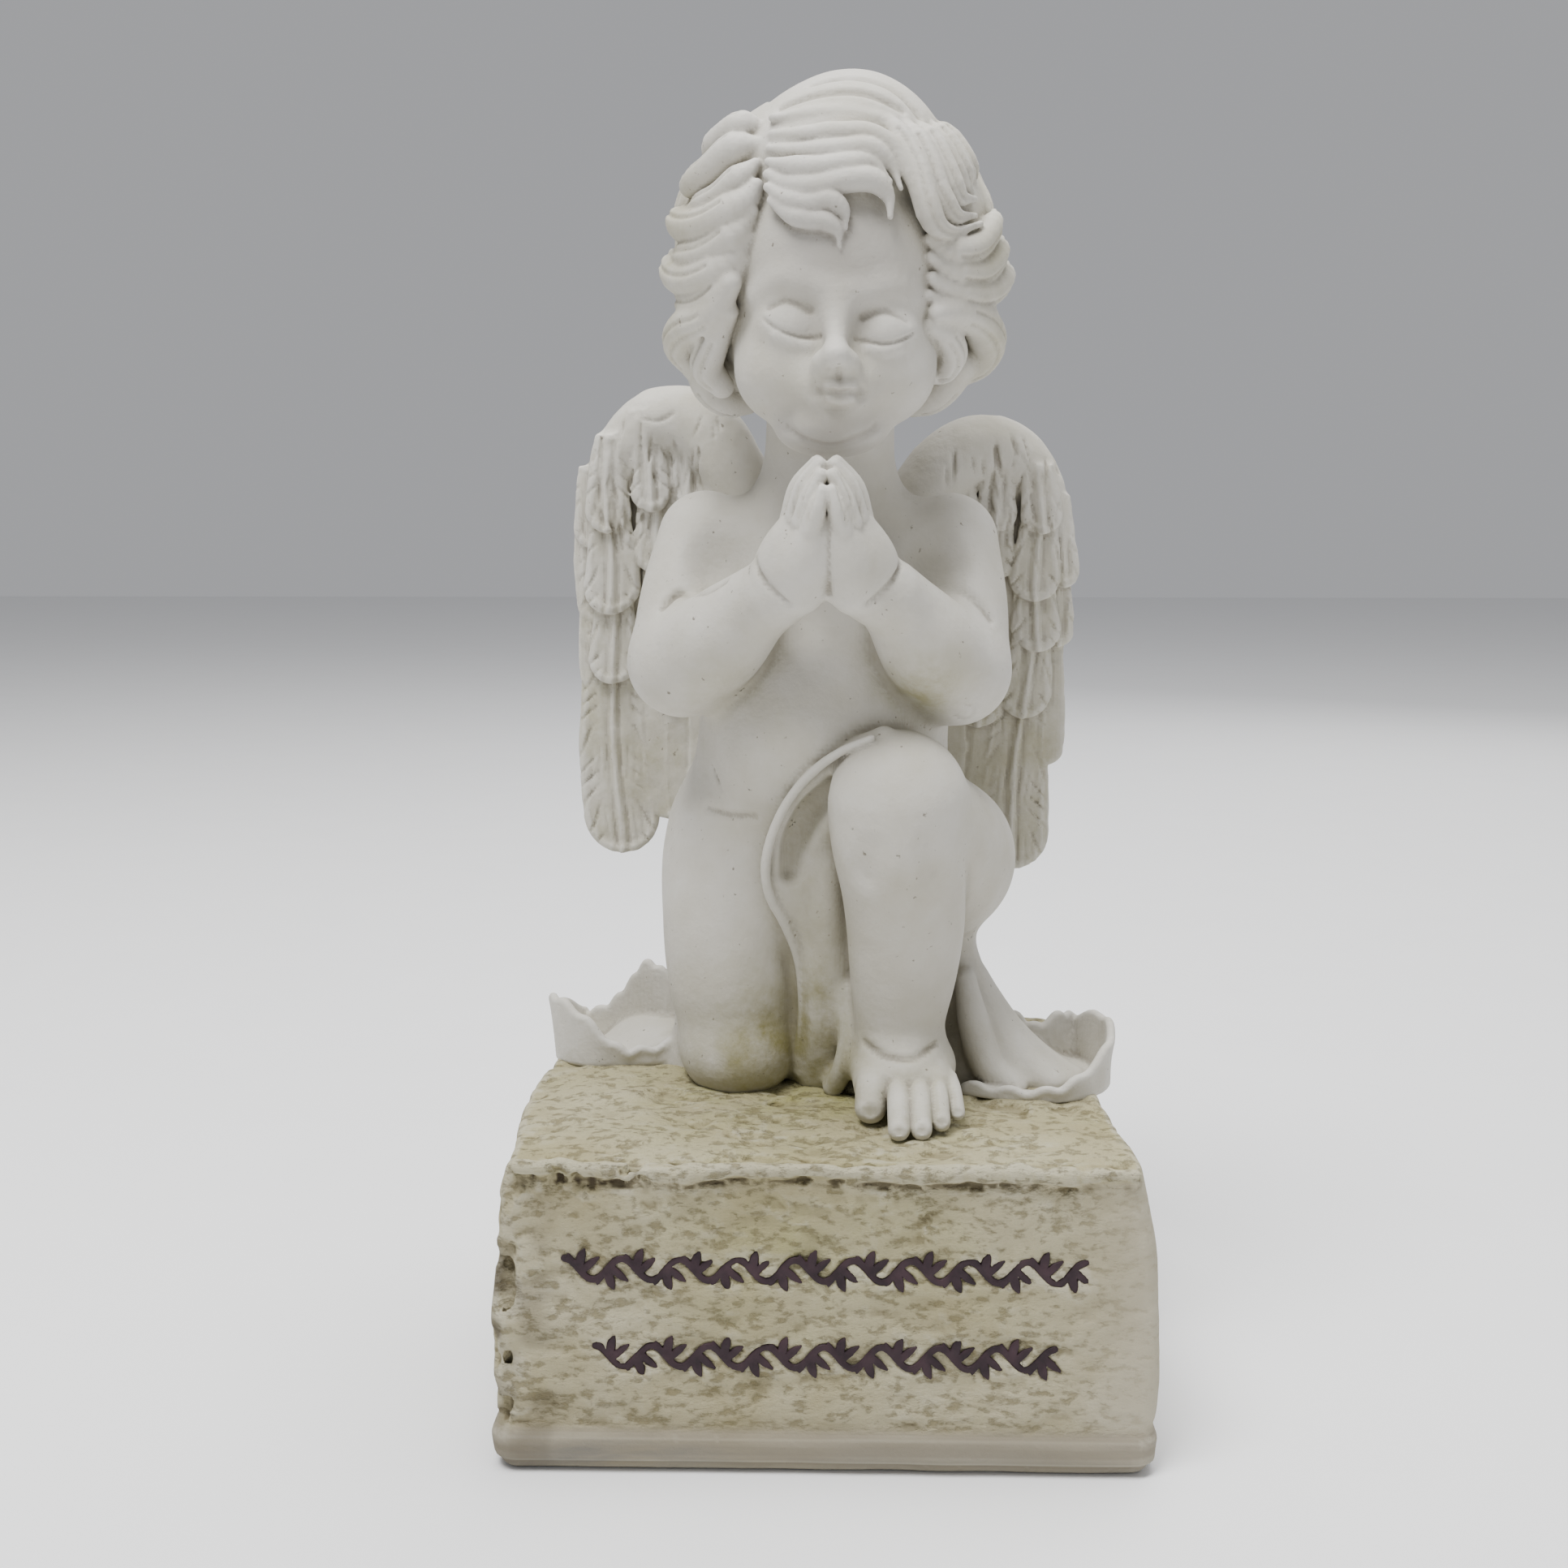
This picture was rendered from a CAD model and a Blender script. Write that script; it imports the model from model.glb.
"""Looks of the praying angel figurine, sculpted as signed-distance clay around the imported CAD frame.

Shapes are written in millimetres in the row frame: +Z up, the angel faces -Y, its own right is on -X.
Each lump of clay is meshed once and then cut into its pieces, so that no seam shows between them.
"""

import bpy
import numpy as np
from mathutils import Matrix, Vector


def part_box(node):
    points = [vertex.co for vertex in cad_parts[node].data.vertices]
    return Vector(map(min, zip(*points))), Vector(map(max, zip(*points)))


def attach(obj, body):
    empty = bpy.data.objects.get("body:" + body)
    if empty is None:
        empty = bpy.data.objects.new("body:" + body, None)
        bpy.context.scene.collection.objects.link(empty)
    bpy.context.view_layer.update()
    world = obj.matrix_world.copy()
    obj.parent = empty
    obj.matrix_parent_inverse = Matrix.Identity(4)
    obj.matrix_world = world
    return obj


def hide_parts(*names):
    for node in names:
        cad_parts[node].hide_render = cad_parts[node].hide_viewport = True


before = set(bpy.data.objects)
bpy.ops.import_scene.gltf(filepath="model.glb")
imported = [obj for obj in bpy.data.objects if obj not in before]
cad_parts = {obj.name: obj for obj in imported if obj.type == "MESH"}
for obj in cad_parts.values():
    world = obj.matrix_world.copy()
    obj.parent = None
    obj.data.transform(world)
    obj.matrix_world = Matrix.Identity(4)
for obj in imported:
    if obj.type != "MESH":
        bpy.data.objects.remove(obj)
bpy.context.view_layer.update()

MM = 0.001
FAR = 12.0  # a distance that means "nowhere near", in mm
COARSE = 1.0


def box_mm(*nodes):
    """The lowest and highest corner of some CAD nodes, in millimetres."""
    boxes = [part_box(n) for n in nodes]
    low = np.min([b[0] for b in boxes], axis=0) / MM
    high = np.max([b[1] for b in boxes], axis=0) / MM
    return low, high


# ---------------------------------------------------------------- noise and smooth steps
LATTICE = 64
lattices = {}
# turns the grain of loose noise off the axes
TURN = np.array([[0.80, 0.36, 0.48], [-0.60, 0.48, 0.64], [0.0, -0.80, 0.60]])


def lattice(seed):
    if seed not in lattices:
        lattices[seed] = np.random.default_rng(seed).uniform(-1, 1, (LATTICE,) * 3).astype(np.float32)
    return lattices[seed]


def noise(x, y, z, size, seed):
    """Smooth value noise from -1 to 1 on an open grid. size is its grain in mm, one number or three."""
    value = lattice(seed)
    for axis, (line, grain) in enumerate(zip((x, y, z), np.broadcast_to(size, 3))):
        at = line.ravel() / grain + 17.3
        cell = np.floor(at).astype(int)
        part = (at - cell).astype(np.float32)
        part = part * part * (3 - 2 * part)
        shape = [1, 1, 1]
        shape[axis] = -1
        part = part.reshape(shape)
        near, far = (np.take(value, (cell + n) % LATTICE, axis) for n in (0, 1))
        value = near * (1 - part) + far * part
    return value


def spots(points, size, seed):
    """The same noise at loose points, a row of x, y and z for each."""
    value = lattice(seed)
    at = (points / size) @ TURN + 30
    cell = np.floor(at).astype(int)
    part = (at - cell).astype(np.float32)
    part = part * part * (3 - 2 * part)
    total = 0
    for corner in np.ndindex(2, 2, 2):
        weight = 1
        for n in range(3):
            weight = weight * (part[:, n] if corner[n] else 1 - part[:, n])
        i, j, k = ((cell + corner) % LATTICE).T
        total = total + weight * value[i, j, k]
    return total


def step_up(value, start, end):
    """0 below start, 1 above end, smooth between."""
    t = np.clip((value - start) / (end - start), 0, 1)
    return t * t * (3 - 2 * t)


def bell(*axes):
    """1 at a place and fading all round it. Each axis gives a value, its middle and its width."""
    return np.exp(-sum(((value - middle) / width) ** 2 for value, middle, width in axes))


def curve(points, pieces=5):
    """A smooth line through points. Each row may carry more numbers, such as a radius."""
    p = np.array(points, float)
    p = np.vstack([2 * p[0] - p[1], p, 2 * p[-1] - p[-2]])
    rows = []
    for a, b, c, d in zip(p, p[1:], p[2:], p[3:]):
        for t in np.arange(pieces) / pieces:
            square, cube = 2 * a - 5 * b + 4 * c - d, 3 * b - a - 3 * c + d
            rows.append(0.5 * (2 * b + (c - a) * t + square * t**2 + cube * t**3))
    return np.array(rows + [p[-2]])


# ---------------------------------------------------------------- solids
# Each is a distance function, its lowest corner and its highest corner.
def egg(centre, radii, turn=0.0):
    """An ellipsoid. turn leans it about the Y axis, in degrees, its top towards +X."""
    c, r = np.array(centre, float), np.array(np.broadcast_to(radii, 3), float)
    cos, sin = np.cos(np.radians(turn)), np.sin(np.radians(turn))

    def distance(x, y, z):
        x, y, z = x - c[0], y - c[1], z - c[2]
        if turn:
            x, z = cos * x - sin * z, sin * x + cos * z
        scaled = np.sqrt((x / r[0]) ** 2 + (y / r[1]) ** 2 + (z / r[2]) ** 2)
        slope = np.sqrt((x / r[0] ** 2) ** 2 + (y / r[1] ** 2) ** 2 + (z / r[2] ** 2) ** 2)
        return scaled * (scaled - 1) / (slope + 1e-6)

    reach = max(r) if turn else r
    return distance, c - reach, c + reach


def cone(a, b, radius_a, radius_b):
    """A round-ended rod that changes its radius from a to b."""
    a, b = np.array(a, float), np.array(b, float)
    run = b - a
    square = run.dot(run) + 1e-9

    def distance(x, y, z):
        x, y, z = x - a[0], y - a[1], z - a[2]
        t = np.clip((x * run[0] + y * run[1] + z * run[2]) / square, 0, 1)
        gap = np.sqrt((x - t * run[0]) ** 2 + (y - t * run[1]) ** 2 + (z - t * run[2]) ** 2)
        return gap - (radius_a + (radius_b - radius_a) * t)

    wide = max(radius_a, radius_b)
    return distance, np.minimum(a, b) - wide, np.maximum(a, b) + wide


def tube(points, pieces=5):
    """Rods along a smooth line through points (x, y, z, radius)."""
    line = curve(points, pieces)
    return [cone(a[:3], b[:3], a[3], b[3]) for a, b in zip(line, line[1:])]


def stack(rows):
    """A body through level ellipses, each (z, x, y, radius in x, radius in y)."""
    rows = np.array(rows, float)
    fine = curve(rows, 6)
    low = [np.min(fine[:, 1] - fine[:, 3]), np.min(fine[:, 2] - fine[:, 4]), rows[0, 0]]
    high = [np.max(fine[:, 1] + fine[:, 3]), np.max(fine[:, 2] + fine[:, 4]), rows[-1, 0]]

    def distance(x, y, z):
        cx, cy, rx, ry = (np.interp(z, fine[:, 0], fine[:, n]).astype(np.float32) for n in (1, 2, 3, 4))
        x, y = x - cx, y - cy
        scaled = np.sqrt((x / rx) ** 2 + (y / ry) ** 2)
        slope = np.sqrt((x / rx**2) ** 2 + (y / ry**2) ** 2)
        side = scaled * (scaled - 1) / (slope + 1e-6)
        return np.maximum(side, np.maximum(rows[0, 0] - z, z - rows[-1, 0]))

    return distance, np.array(low), np.array(high)


# ---------------------------------------------------------------- clay
class Clay:
    """A solid held as signed distances on a lattice of cubes. Each cube remembers the piece it is in."""

    def __init__(self, low, high, step, reach=6.0):
        self.step = step * COARSE
        self.reach = reach
        self.first = np.floor(np.array(low) / self.step).astype(int)
        size = np.ceil(np.array(high) / self.step).astype(int) - self.first + 1
        self.d = np.full(size, FAR, np.float32)
        self.owner = np.zeros(size, np.uint8)
        self.pieces = []

    def window(self, low, high, margin=0.0):
        """The slices of the lattice between two corners, and their x, y and z as an open grid."""
        a = np.floor((np.array(low) - margin) / self.step).astype(int) - self.first
        b = np.ceil((np.array(high) + margin) / self.step).astype(int) - self.first + 1
        a, b = np.clip(a, 0, self.d.shape), np.clip(b, 0, self.d.shape)
        lines = [(np.arange(i, j) + f) * self.step for i, j, f in zip(a, b, self.first)]
        return tuple(slice(i, j) for i, j in zip(a, b)), np.ix_(*(v.astype(np.float32) for v in lines))

    def grid(self):
        return self.window(self.first * self.step, (self.first + np.array(self.d.shape)) * self.step)[1]

    def number(self, piece):
        if piece not in self.pieces:
            self.pieces.append(piece)
        return self.pieces.index(piece)

    def gather(self, solids, reach):
        """The hard union of some solids in the window that holds them all."""
        low = np.min([s[1] for s in solids], axis=0)
        high = np.max([s[2] for s in solids], axis=0)
        where, grid = self.window(low, high, reach)
        if any(s.stop <= s.start for s in where):
            return where, None
        if len(solids) == 1:
            return where, solids[0][0](*grid)
        near = np.full([s.stop - s.start for s in where], FAR, np.float32)
        base = [s.start for s in where]
        for distance, low, high in solids:
            spot, part = self.window(low, high, reach)
            inner = tuple(slice(s.start - b, s.stop - b) for s, b in zip(spot, base))
            if all(s.stop > s.start for s in spot):
                near[inner] = np.minimum(near[inner], distance(*part))
        return where, near

    def add(self, solids, blend=0.0, piece=None):
        """Joins solids to the clay with a fillet about as wide as blend."""
        solids = solids if isinstance(solids, list) else [solids]
        where, new = self.gather(solids, max(self.reach, blend))
        if new is None:
            return
        old = self.d[where]
        if piece:
            self.owner[where][new < old] = self.number(piece)
        joined = np.minimum(old, new)
        if blend:
            joined -= np.maximum(blend - np.abs(old - new), 0) ** 2 / (4 * blend)
        self.d[where] = joined

    def cut(self, solids, blend=0.0):
        """Carves solids out of the clay."""
        solids = solids if isinstance(solids, list) else [solids]
        where, new = self.gather(solids, self.step * 2 + blend)
        if new is None:
            return
        old = self.d[where]
        left = np.maximum(old, -new)
        if blend:
            left += np.maximum(blend - np.abs(old + new), 0) ** 2 / (4 * blend)
        self.d[where] = left

    def rod(self, name, blend, points, pieces=5):
        self.add(tube(points, pieces), blend, name)

    def lump(self, name, blend, centre, radii, turn=0.0):
        self.add(egg(centre, radii, turn), blend, name)

    def ridge(self, name, blend, points, sink):
        self.add(tube(self.on_front(points, sink)), blend, name)

    def groove(self, blend, points, sink=0.0, pieces=5):
        self.cut(tube(self.on_front(points, sink), pieces), blend)

    def dent(self, blend, centre, radii):
        self.cut(egg(centre, radii), blend)

    def front(self, x, z):
        """The y of the first surface that a look along +Y meets at x and z."""
        i, k = (int(round(v / self.step)) - self.first[a] for v, a in ((x, 0), (z, 2)))
        column = self.d[i, :, k]
        inside = np.nonzero(column < 0)[0]
        if not len(inside) or inside[0] == 0:
            return 0.0
        j = inside[0]
        part = column[j - 1] / (column[j - 1] - column[j])
        return (j - 1 + part + self.first[1]) * self.step

    def on_front(self, points, sink=0.0):
        """Points (x, z, radius) moved onto the surface seen from the front, then sunk into it."""
        return [(x, self.front(x, z) + sink, z, r) for x, z, r in points]

    def floor(self, height):
        """Flattens the clay from below at a height."""
        z = self.grid()[2]
        self.d = np.maximum(self.d, height - z)

    def hollows(self, radius):
        """Below 0 in a hollow and above 0 on an edge, from the mean distance around each cube."""
        near = np.clip(self.d, -2.5, 2.5)
        mean = near.copy()
        half = max(1, int(round(radius / self.step)))
        for axis in range(3):
            for _ in range(2):
                pad = [(0, 0)] * 3
                pad[axis] = (half + 1, half)
                run = np.cumsum(np.pad(mean, pad, mode="edge"), axis=axis, dtype=np.float64)
                count = mean.shape[axis]
                width = 2 * half + 1
                high = np.take(run, np.arange(width, width + count), axis)
                low = np.take(run, np.arange(count), axis)
                mean = ((high - low) / width).astype(np.float32)
        return mean - near

    def surface(self):
        """The skin of the clay and the walls inside it between pieces, as one net of shared points.

        Gives the points in lattice steps, their outward normals, and for each quad its four points
        and the pieces behind and before it, with 0 for the air.
        """
        label = np.where(self.d < 0, self.owner + 1, 0)
        for axis in range(3):
            edge = [slice(None)] * 3
            for end in (0, -1):
                edge[axis] = end
                label[tuple(edge)] = 0
        cells, places, weights, sides = [], [], [], []
        for axis in range(3):
            behind = [slice(None)] * 3
            before = [slice(None)] * 3
            behind[axis], before[axis] = slice(None, -1), slice(1, None)
            at = np.argwhere(label[tuple(behind)] != label[tuple(before)])
            step = np.eye(3, dtype=int)[axis]
            first, second = tuple(at.T), tuple((at + step).T)
            pair = np.stack([label[first], label[second]], axis=1)
            near, far = np.abs(self.d[first]), np.abs(self.d[second])
            skin = pair.min(axis=1) == 0
            place = at.astype(float)
            place[:, axis] += np.where(skin, near / (near + far + 1e-9), 0.5)
            ring = []
            for u, v in ((-1, -1), (0, -1), (0, 0), (-1, 0)):
                cell = at.copy()
                cell[:, (axis + 1) % 3] += u
                cell[:, (axis + 2) % 3] += v
                ring.append(np.ravel_multi_index(cell.T, label.shape))
            cells.append(np.stack(ring, axis=1))
            places.append(place)
            weights.append(np.where(skin, 1.0, 1e-5))
            sides.append(pair)
        cells, places, weights, sides = (np.concatenate(v) for v in (cells, places, weights, sides))
        used, quads = np.unique(cells, return_inverse=True)
        quads = quads.reshape(-1, 4)
        count = len(used)

        def gather(values):
            return np.bincount(quads.ravel(), np.repeat(values, 4), count)

        total = gather(weights)
        points = np.stack([gather(weights * places[:, n]) / total for n in range(3)], axis=1)
        corners = points[quads]
        across = np.cross(corners[:, 2] - corners[:, 0], corners[:, 3] - corners[:, 1])
        outward = np.where(sides[:, 1] == 0, 1.0, -1.0) * (sides.min(axis=1) == 0)
        normals = np.stack([gather(across[:, n] * outward) for n in range(3)], axis=1)
        size = np.linalg.norm(normals, axis=1, keepdims=True)
        normals = np.where(size > 1e-9, normals / (size + 1e-12), (0.0, 0.0, 1.0))
        return points, normals, quads, sides

    def sample(self, field, points):
        """A field of the lattice read at surface points, given in lattice steps."""
        at = np.clip(np.round(points).astype(int), 0, np.array(self.d.shape) - 1)
        return field[at[:, 0], at[:, 1], at[:, 2]]


def make_piece(name, points, quads, normals, attributes, material):
    """One Blender object from arrays, in millimetres, that stands for the CAD node of its name."""
    mesh = bpy.data.meshes.new(name)
    mesh.vertices.add(len(points))
    mesh.vertices.foreach_set("co", (points * MM).astype(np.float32).ravel())
    mesh.loops.add(quads.size)
    mesh.loops.foreach_set("vertex_index", quads.astype(np.int32).ravel())
    mesh.polygons.add(len(quads))
    mesh.polygons.foreach_set("loop_start", np.arange(0, quads.size, 4, dtype=np.int32))
    mesh.polygons.foreach_set("loop_total", np.full(len(quads), 4, np.int32))
    mesh.polygons.foreach_set("use_smooth", np.ones(len(quads), bool))
    mesh.update(calc_edges=True)
    for key, values in attributes.items():
        layer = mesh.attributes.new(key, "FLOAT", "POINT")
        layer.data.foreach_set("value", values.astype(np.float32))
    mesh.normals_split_custom_set_from_vertices(normals.astype(np.float32))
    mesh.materials.append(material)
    piece = bpy.data.objects.new(name + "_cast", mesh)
    bpy.context.scene.collection.objects.link(piece)
    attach(piece, "root")
    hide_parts(name)


def cut_into_pieces(clay, material, paint):
    """Meshes a lump of clay and makes one closed piece of each name in it.

    paint gives more point attributes from the points, in mm, and their creases.
    """
    steps, normals, quads, sides = clay.surface()
    crease = clay.sample(clay.hollows(0.7), steps)
    hollow = clay.sample(clay.hollows(2.6), steps)
    points = (steps + clay.first) * clay.step
    values = {"crease": crease, "hollow": hollow}
    values.update(paint(points, crease))
    for number, name in enumerate(clay.pieces, 1):
        mine = np.concatenate([quads[sides[:, 0] == number], quads[sides[:, 1] == number][:, ::-1]])
        used, compact = np.unique(mine, return_inverse=True)
        mine = compact.reshape(-1, 4)
        picked = {key: v[used] for key, v in values.items()}
        make_piece(name, points[used], mine, normals[used], picked, material)


# ---------------------------------------------------------------- materials
class Look:
    """A procedural material, with short ways to make its shader nodes."""

    def __init__(self, name):
        self.material = bpy.data.materials.new(name)
        self.material.use_nodes = True
        self.tree = self.material.node_tree
        self.shader = self.tree.nodes["Principled BSDF"]

    def feed(self, socket, value):
        if isinstance(value, bpy.types.NodeSocket):
            self.tree.links.new(value, socket)
        else:
            socket.default_value = value

    def node(self, kind, inputs=None, output=0, **settings):
        """An output of a new node with its settings made, and its inputs set or linked."""
        made = self.tree.nodes.new("ShaderNode" + kind)
        for key, value in settings.items():
            setattr(made, key, value)
        for key, value in (inputs or {}).items():
            self.feed(made.inputs[key], value)
        return made.outputs[output]

    def point(self, name):
        """A number that the mesh holds at each of its points."""
        return self.node("Attribute", output="Fac", attribute_name=name)

    def maths(self, kind, first, second):
        return self.node("Math", {0: first, 1: second}, operation=kind)

    def times(self, first, second):
        return self.maths("MULTIPLY", first, second)

    def ramp(self, value, low, high, most=1.0):
        """A value, or the name of a point value, stretched from low..high to 0..most and held there."""
        value = self.point(value) if isinstance(value, str) else value
        return self.node("MapRange", {0: value, 1: low, 2: high, 3: 0.0, 4: most}, clamp=True)

    def mix(self, amount, first, second):
        """A colour mix. Colours are sockets or (r, g, b)."""
        first, second = (c if isinstance(c, bpy.types.NodeSocket) else (*c, 1.0) for c in (first, second))
        return self.node("Mix", {0: amount, 6: first, 7: second}, 2, data_type="RGBA")

    def grain(self, scale, detail=4.0, rough=0.6, stretch=(1, 1, 1)):
        """Fractal noise on the object's own coordinates, in grains per metre."""
        place = self.node("TexCoord", output="Object")
        place = self.node("Mapping", {"Vector": place, "Scale": stretch})
        inputs = {"Vector": place, "Scale": scale, "Detail": detail, "Roughness": rough}
        return self.node("TexNoise", inputs)

    def layers(self, colour, *coats):
        """Coats of paint over a colour, each an amount and its (r, g, b)."""
        for amount, paint in coats:
            colour = self.mix(amount, colour, paint)
        return colour

    def finish(self, colour, roughness, gloss=0.5, height=None, strength=0.0, depth=0.0):
        """Feeds the shader. height is bumps of a depth in metres."""
        self.feed(self.shader.inputs["Base Color"], colour)
        self.feed(self.shader.inputs["Roughness"], roughness)
        self.feed(self.shader.inputs["Specular IOR Level"], gloss)
        if height:
            bump = self.node("Bump", {"Height": height, "Strength": strength, "Distance": depth})
            self.feed(self.shader.inputs["Normal"], bump)
        return self.material


def cast_resin():
    """Chalky off-white resin: soft mottling, greenish stain, grey in the hollows and tiny pinholes."""
    look = Look("cast_resin")
    mottle = look.ramp(look.grain(55, 5), 0.36, 0.68)
    stain = look.times(look.point("stain"), look.ramp(look.grain(120, 6, 0.7), 0.20, 0.62))
    colour = look.layers(
        look.mix(mottle, (0.545, 0.524, 0.480), (0.465, 0.440, 0.376)),
        (stain, (0.235, 0.215, 0.095)),
        (look.ramp("hollow", -0.05, -0.80, 0.38), (0.270, 0.245, 0.150)),
        (look.point("wash"), (0.290, 0.268, 0.240)),
        (look.ramp("crease", -0.04, -0.34, 0.62), (0.150, 0.130, 0.100)),
        (look.ramp("crease", 0.04, 0.26, 0.35), (0.600, 0.585, 0.545)),
        (look.ramp(look.grain(800, 2, 0.5), 0.71, 0.78, 0.75), (0.120, 0.100, 0.070)),
    )
    roughness = look.maths("ADD", look.times(mottle, 0.12), 0.62)
    skin = look.maths("ADD", look.grain(700, 5), look.times(look.grain(160, 3), 1.5))
    return look.finish(colour, roughness, 0.28, skin, 0.28, 0.0006)


def stone_look():
    """Beige-olive cast stone: pale worn faces, yellow-green top, dark dirt in the pits."""
    look = Look("stone_look")
    flakes = look.grain(460, 5, 0.62, (0.8, 1, 1.5))
    plain = look.maths("MAXIMUM", look.point("smooth"), look.point("band"))
    rough_part = look.maths("SUBTRACT", 1.0, plain)
    chips = look.times(look.ramp(flakes, 0.47, 0.36), rough_part)
    smears = look.ramp(look.grain(60, 5, 0.6, (0.4, 1, 3)), 0.40, 0.62)
    stain = look.times(look.point("stain"), look.ramp(look.grain(90, 6, 0.7), 0.30, 0.68))
    colour = look.layers(
        look.mix(look.ramp(look.grain(45, 6), 0.35, 0.65), (0.310, 0.274, 0.160), (0.425, 0.388, 0.275)),
        (stain, (0.265, 0.248, 0.085)),
        (look.times(look.point("smooth"), 0.75), (0.400, 0.368, 0.300)),
        (look.times(look.point("band"), 0.80), (0.215, 0.187, 0.142)),
        (look.ramp("crease", 0.04, 0.24, 0.45), (0.480, 0.455, 0.365)),
        (look.times(chips, 0.62), (0.150, 0.124, 0.058)),
        (look.ramp("crease", -0.05, -0.32, 0.62), (0.130, 0.105, 0.048)),
        (look.point("dirt"), (0.060, 0.045, 0.028)),
        (look.times(look.point("ash"), smears), (0.130, 0.128, 0.120)),
    )
    depth = look.times(look.maths("SUBTRACT", flakes, look.times(chips, 0.25)), rough_part)
    height = look.maths("ADD", look.times(look.grain(1100, 4, 0.7), 0.35), look.times(depth, 2.4))
    return look.finish(colour, 0.86, 0.2, height, 0.75, 0.0007)


def ornament_paint():
    """Dark purple paint brushed into the engraving, thin at places."""
    look = Look("ornament_paint")
    colour = look.mix(look.ramp(look.grain(260, 4), 0.35, 0.7), (0.014, 0.006, 0.009), (0.038, 0.018, 0.024))
    roughness = look.maths("ADD", look.times(look.grain(500, 3), 0.25), 0.50)
    return look.finish(colour, roughness, 0.3, look.grain(900, 3), 0.3, 0.0003)


def drawn_steel():
    """Plain steel of the hidden pins, with marks along its length."""
    look = Look("drawn_steel")
    marks = look.grain(900, 3, 0.6, (1, 1, 0.05))
    look.shader.inputs["Metallic"].default_value = 1.0
    colour = look.mix(marks, (0.45, 0.45, 0.46), (0.62, 0.62, 0.63))
    return look.finish(colour, look.maths("ADD", look.times(marks, 0.2), 0.25))


def floor_paper():
    look = Look("floor_paper")
    return look.finish(look.mix(look.grain(30, 2), (0.80, 0.80, 0.80), (0.83, 0.83, 0.83)), 0.9)


resin, stone = cast_resin(), stone_look()

# ---------------------------------------------------------------- block
block_low, block_high = box_mm("plinth")
block_top = block_high[2]
front_y = block_low[1]
band_top = 8.0  # the trowelled band round the foot of the block


def block_relief(points, over):
    """How deep the stone look lies at points near the surface. over is above 0 on the block's top."""
    x, y, z = points.T
    on_top = step_up(over, -1.0, 1.0)
    band = 1 - step_up(z, band_top - 1.2, band_top + 1.4)
    right_side = step_up(x, 34, 57) * (1 - on_top)
    moved = points + 1.5 * np.stack([spots(points, 7, n) for n in (1, 2, 3)], axis=1)
    flakes = spots(moved, (5.6, 4.4, 3.2), 5) + 0.45 * spots(moved, (3.2, 2.6, 2.2), 6)
    patches = step_up(spots(moved, (14, 11, 9), 4) + 0.5 * spots(moved, (6, 5, 4), 10), -0.45, 0.30)
    pits = step_up(flakes, 0.0, 0.75)
    cracks = 1 - step_up(np.abs(spots(moved, (8.0, 6.0, 4.6), 7)), 0.02, 0.30)
    deep = (0.65 * pits + 0.32 * cracks) * (0.30 + 0.70 * patches) + 0.22 * flakes + 0.25 * patches
    deep = deep * (0.75 + 0.20 * on_top) * (1 - 0.93 * band) * (1 - 0.65 * right_side)
    return deep + 0.35 * spots(points, 9, 8) * (1 - 0.5 * band)


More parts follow.
